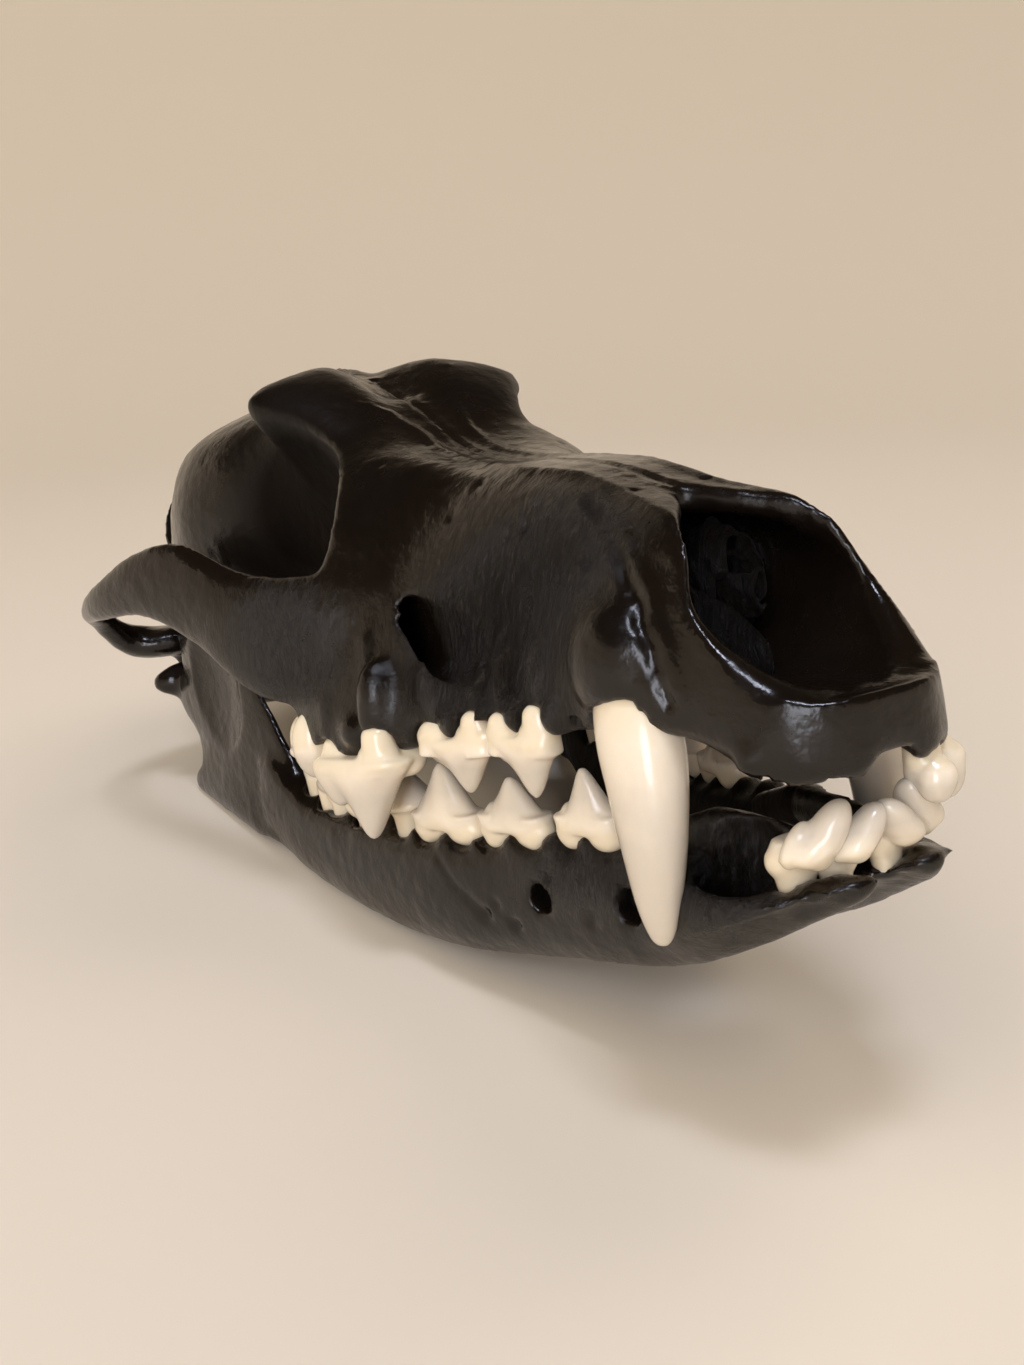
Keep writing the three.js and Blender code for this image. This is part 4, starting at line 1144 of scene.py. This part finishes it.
# One curled leaf of the turbinates
def noseShell(side, index):
    turns = np.linspace(0, 1, 26)
    rings = []
    for y in np.linspace(shellShape["start"] + index * 1.5, shellShape["end"], 40):
        wave = 0.6 * np.sin(y * 0.9 + index * 2 + turns * 5) + 0.35 * np.sin(y * 2.3 + turns * 17)
        radius = 1.3 + 0.55 * index
        angle = turns * (4.2 + 0.5 * index) + index * 1.7 + y * 0.05
        x = side * (4.9 + (radius + wave * 0.5) * np.cos(angle) * 0.9)
        z = 12 + 1.9 * (index % 3) + (y - 17) * 0.1 + (radius * 1.5 + wave) * np.sin(angle)
        rings.append(ringAt(y, x, z))
    rings = np.array(rings)
    rows, across = rings.shape[:2]
    faces = [(r * across + k, r * across + k + 1, (r + 1) * across + k + 1, (r + 1) * across + k)
             for r in range(rows - 1) for k in range(across - 1)]
    piece = newPiece("shell", rings.reshape(-1, 3).tolist(), faces)
    applyModifier(piece, "SOLIDIFY", thickness=shellShape["thick"], offset=0)
    return piece


# The thin upright wall in the middle of the nose
def noseWall():
    shape = wallShape
    rings = [
        ovalAt(y, 0.5 * math.sin(y * 0.4), shape["half"], shape["foot"], float(shape["top"](y)), 24)
        for y in np.linspace(shape["start"], shape["end"], 30)
    ]
    return skinPiece("noseWall", rings)


leaves = [noseShell(side, index) for side in sides for index in range(shellShape["leaves"])]
noseShells = joinPieces("nose_shells", [noseWall()] + leaves)
# grain gives wrinkles; bare is painted shade, the same over every shell
for layerName in ("grain", "bare"):
    paintLayer(noseShells, layerName, np.full(len(noseShells.data.vertices), shellShape[layerName]))
say("nose")

# Finish of each surface


def linear(hexColour):
    parts = [int(hexColour[i : i + 2], 16) / 255 for i in (1, 3, 5)]
    return tuple(p / 12.92 if p <= 0.04045 else ((p + 0.055) / 1.055) ** 2.4 for p in parts) + (1,)


# One node with its settings, its own values, and links as {socket: (node, output)}
def addNode(tree, kind, settings=None, inputs=None, links=None):
    node = tree.nodes.new("ShaderNode" + kind)
    for key, value in (settings or {}).items():
        setattr(node, key, value)
    for key, value in (inputs or {}).items():
        node.inputs[key].default_value = value
    for key, (source, output) in (links or {}).items():
        tree.links.new(source.outputs[output], node.inputs[key])
    return node


# Noise with bumps of about that size in mm, over the piece itself
def noiseNode(tree, source, size, **values):
    return addNode(tree, "TexNoise", None, {"Scale": 1000 / size, **values}, {"Vector": source})


def mathNode(tree, operation, links, values=None):
    return addNode(tree, "Math", {"operation": operation}, values, links)


def bumpNode(tree, values, links):
    strength, distance = values
    return addNode(tree, "Bump", None, {"Strength": strength, "Distance": distance}, links)


def newMaterial(name):
    material = bpy.data.materials.new(name)
    material.use_nodes = True
    material.node_tree.nodes.clear()
    return material, material.node_tree


boneFinish = {
    "deep": "#0A0807",
    "warm": "#18110B",
    "roughness": (0.13, 0.3),
    # Painted shade: where the bare layer is full the roughness rises to this and the specular level falls
    # from the first shine value to the second
    "bareRoughness": 0.6,
    "shine": (0.5, 0.06),
    "cloud": 14,  # mm, drifts between the two colours
    "patch": 9,  # mm, drifts of gloss
    "peel": 2.7,  # mm, gentle waves of brushed paint
    "wrinkle": 1.21,  # mm, drawn coarser than the real film so that it shows
    "stretch": (1, 1, 0.35),
    "peelBump": (0.35, 0.0006),
    "wrinkleBump": (1.0, 0.002),
}


# Oil enamel paint brushed over bone: deep gloss with soft waves, and fine wrinkles where it pooled. Painted
# shade: where the bare layer is set, it turns matt and reflects little, so that hollows stay dark.
def brushedEnamelPaint():
    finish = boneFinish
    material, tree = newMaterial("brushed black enamel paint")
    place = addNode(tree, "TexCoord")
    cloud = noiseNode(tree, (place, "Object"), finish["cloud"], Detail=4.0, Roughness=0.6)
    colour = addNode(tree, "Mix", {"data_type": "RGBA"}, None, {0: (cloud, 0)})
    colour.inputs[6].default_value = linear(finish["deep"])
    colour.inputs[7].default_value = linear(finish["warm"])
    patch = noiseNode(tree, (place, "Object"), finish["patch"], Detail=5.0, Roughness=0.65)
    grain = addNode(tree, "Attribute", {"attribute_name": "grain"})
    gloss = addNode(tree, "MapRange", None,
                    {1: 0.35, 2: 0.68, 3: finish["roughness"][0], 4: finish["roughness"][1]}, {0: (patch, 0)})
    wave = noiseNode(tree, (place, "Object"), finish["peel"], Detail=3.0, Roughness=0.5)
    stretched = addNode(tree, "Mapping", None, {"Scale": finish["stretch"]},
                        {"Vector": (place, "Object")})
    crease = noiseNode(tree, (stretched, 0), finish["wrinkle"], Detail=6.0, Roughness=0.7, Distortion=1.6)
    creased = mathNode(tree, "MULTIPLY", {0: (crease, 0), 1: (grain, "Fac")})
    softBump = bumpNode(tree, finish["peelBump"], {"Height": (wave, 0)})
    hardBump = bumpNode(tree, finish["wrinkleBump"], {"Height": (creased, 0), "Normal": (softBump, 0)})
    # Painted shade: the bare layer lowers the specular level and raises the roughness in hollows that lie in
    # shade
    bare = addNode(tree, "Attribute", {"attribute_name": "bare"})
    shine = addNode(tree, "MapRange", None,
                    {3: finish["shine"][0], 4: finish["shine"][1]}, {0: (bare, "Fac")})
    rough = addNode(tree, "Mix", None,
                    {3: finish["bareRoughness"]}, {0: (bare, "Fac"), 2: (gloss, 0)})
    shader = addNode(tree, "BsdfPrincipled", None, {"IOR": 1.48},
                     {"Base Color": (colour, 2), "Roughness": (rough, 0), "Normal": (hardBump, 0),
                      "Specular IOR Level": (shine, 0)})
    addNode(tree, "OutputMaterial", None, None, {"Surface": (shader, 0)})
    return material


toothFinish = {
    "crown": "#D2C8B8",
    "neck": "#EADECA",
    "root": "#E6D8BD",
    "neckAt": 0.18,
    "crownAt": 0.55,
    "roughness": 0.24,
    "mottle": 6,  # mm, drifts between the colours
    "ripple": 1.6,  # mm, the growth lines of the enamel
    "rippleBump": (0.15, 0.0002),
}


# Cleaned tooth enamel: dense, glassy and slightly see-through, yellower at the neck and the root
def toothEnamel():
    finish = toothFinish
    material, tree = newMaterial("cleaned tooth enamel")
    place = addNode(tree, "TexCoord")
    crown = addNode(tree, "Attribute", {"attribute_name": "crown"})
    mottle = noiseNode(tree, (place, "Object"), finish["mottle"], Detail=3.0)
    shift = mathNode(tree, "MULTIPLY_ADD", {0: (mottle, 0)}, {1: 0.5, 2: -0.25})
    height = mathNode(tree, "ADD", {0: (crown, "Fac"), 1: (shift, 0)})
    ramp = addNode(tree, "ValToRGB", None, None, {0: (height, 0)})
    ramp.color_ramp.elements[0].position = 0.0
    ramp.color_ramp.elements[0].color = linear(finish["root"])
    ramp.color_ramp.elements[1].position = finish["crownAt"]
    ramp.color_ramp.elements[1].color = linear(finish["crown"])
    between = ramp.color_ramp.elements.new(finish["neckAt"])
    between.color = linear(finish["neck"])
    ripple = noiseNode(tree, (place, "Object"), finish["ripple"], Detail=2.0)
    bump = bumpNode(tree, finish["rippleBump"], {"Height": (ripple, 0)})
    shader = addNode(tree, "BsdfPrincipled", None,
                     {"IOR": 1.55, "Roughness": finish["roughness"], "Coat Weight": 0.25,
                      "Coat Roughness": 0.08, "Subsurface Weight": 0.25, "Subsurface Scale": 0.002,
                      "Subsurface Radius": (1.0, 0.7, 0.45)},
                     {"Base Color": (ramp, 0), "Normal": (bump, 0)})
    addNode(tree, "OutputMaterial", None, None, {"Surface": (shader, 0)})
    return material


paint, enamel = brushedEnamelPaint(), toothEnamel()
bonePieces = {
    "cranium_bone": (cranium, "cranium"),
    "mandible_left_bone": (jawBones[1], "mandible_left"),
    "mandible_right_bone": (jawBones[-1], "mandible_right"),
}


def finishPiece(piece, name, material):
    piece.name = name
    piece.data.name = name
    piece.data.materials.clear()
    piece.data.materials.append(material)
    placeInRow(piece)
    points = pointsOf(piece)
    points[:, 2] = np.maximum(points[:, 2], 0)  # it rests on the floor
    setPoints(piece, points)
    shadeSmooth(piece)
    piece.data.update()
    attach(piece, "root")


for name, (piece, node) in bonePieces.items():
    finishPiece(piece, name, paint)
    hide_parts(node)
finishPiece(noseShells, "nose_shells", paint)
for name, piece in teethPieces.items():
    finishPiece(piece, name, enamel)
say("placed")

# Floor, light and camera

studio = {
    "floorColour": "#DFD5C6",
    "startRadius": 0.05,
    "flatRadius": 0.55,
    "edgeRadius": 1.5,
    "edgeHeight": 0.75,
    "edgeRise": 2.4,
    "around": 96,
    "horizonColour": "#CDBB9F",
    "roomColour": "#4A3B2C",
    "worldStrength": 0.44,
    "camera": (-0.075507, -0.173534, 0.090006),
    "cameraTurn": (71.1603, 3.1167, -27.9351),
    "sensor": 36,
    "lens": 36 * 1150 / 1365,
}
lamps = {
    "softbox on the right": {"place": (-1.5, -0.1, 1.9), "target": (0, 0.1, 0), "size": (1.7, 2.8),
                             "power": 30, "colour": "#FFF3E2", "shines": False},
    "softbox on the left": {"place": (1.75, 0.2, 1.9), "target": (0, 0.1, 0), "size": (1.3, 2.8),
                            "power": 26, "colour": "#FFF3E2", "shines": False},
    "window": {"place": (-0.53, -0.63, 0.4), "target": (0, -0.05, 0.04), "size": (0.27, 0.52),
               "power": 3.3, "colour": "#EEF2FF", "shines": True},
    "ceiling lamp": {"place": (-0.1, -0.3, 1.3), "target": (0, -0.05, 0.04), "size": (0.3, 0.2),
                     "power": 5.5, "colour": "#E6ECFF", "shines": True},
    "fill": {"place": (-0.4, -0.8, 0.7), "target": (0, 0, 0.03), "size": (0.8, 0.5),
             "power": 0.9, "colour": "#FFF6EA", "shines": False},
}


# A round floor that rises gently at its far edge
def makeFloor():
    flat, edge, around = studio["flatRadius"], studio["edgeRadius"], studio["around"]
    radii = np.concatenate([np.linspace(studio["startRadius"], flat, 8), np.linspace(flat, edge, 24)[1:]])
    heights = studio["edgeHeight"] * np.clip((radii - flat) / (edge - flat), 0, 1) ** studio["edgeRise"]
    angle = angles(around)
    points = [(0, 0, 0)]
    points += [(r * math.cos(a), r * math.sin(a), h) for r, h in zip(radii, heights) for a in angle]
    faces = [(0, 1 + k, 1 + (k + 1) % around) for k in range(around)]
    for row in range(len(radii) - 1):
        for k in range(around):
            a, b = 1 + row * around + k, 1 + row * around + (k + 1) % around
            faces.append((a, a + around, b + around, b))
    floor = newPiece("floor", points, faces)
    shadeSmooth(floor)
    material, tree = newMaterial("matt studio paper")
    shader = addNode(tree, "BsdfPrincipled", None,
                     {"Base Color": linear(studio["floorColour"]), "Roughness": 0.8,
                      "Specular IOR Level": 0.2})
    addNode(tree, "OutputMaterial", None, None, {"Surface": (shader, 0)})
    floor.data.materials.append(material)


def areaLight(name, place, target, size, power, colour, shines):
    light = bpy.data.lights.new(name, "AREA")
    light.shape = "RECTANGLE"
    light.size, light.size_y = size
    light.energy = power
    light.color = linear(colour)[:3]
    lamp = newObject(name, light)
    lamp.location = place
    lamp.rotation_euler = (Vector(target) - Vector(place)).to_track_quat("-Z", "Y").to_euler()
    lamp.visible_glossy = shines
    lamp.visible_camera = False


# The warm wall of a room up to its middle, and a darker room above
def makeWorld():
    world = bpy.data.worlds.new("studio")
    world.use_nodes = True
    tree = world.node_tree
    tree.nodes.clear()
    direction = addNode(tree, "TexCoord")
    parts = addNode(tree, "SeparateXYZ", None, None, {0: (direction, "Generated")})
    height = addNode(tree, "MapRange", None, {1: 0.3, 2: 0.55}, {0: (parts, 2)})
    shade = addNode(tree, "Mix", {"data_type": "RGBA"}, None, {0: (height, 0)})
    shade.inputs[6].default_value = linear(studio["horizonColour"])
    shade.inputs[7].default_value = linear(studio["roomColour"])
    sky = addNode(tree, "Background", None, {"Strength": studio["worldStrength"]},
                  {"Color": (shade, 2)})
    addNode(tree, "OutputWorld", None, None, {"Surface": (sky, 0)})
    bpy.context.scene.world = world
    bpy.context.scene.view_settings.view_transform = "Standard"


def makeCamera():
    lensData = bpy.data.cameras.new("photo")
    lensData.sensor_width = studio["sensor"]
    lensData.lens = studio["lens"]
    lensData.clip_start, lensData.clip_end = 0.01, 20
    camera = newObject("photo", lensData)
    camera.location = studio["camera"]
    camera.rotation_euler = Euler([math.radians(turn) for turn in studio["cameraTurn"]])
    bpy.context.scene.camera = camera


makeFloor()
for name, lamp in lamps.items():
    areaLight(name, **lamp)
makeWorld()
makeCamera()
say("studio")
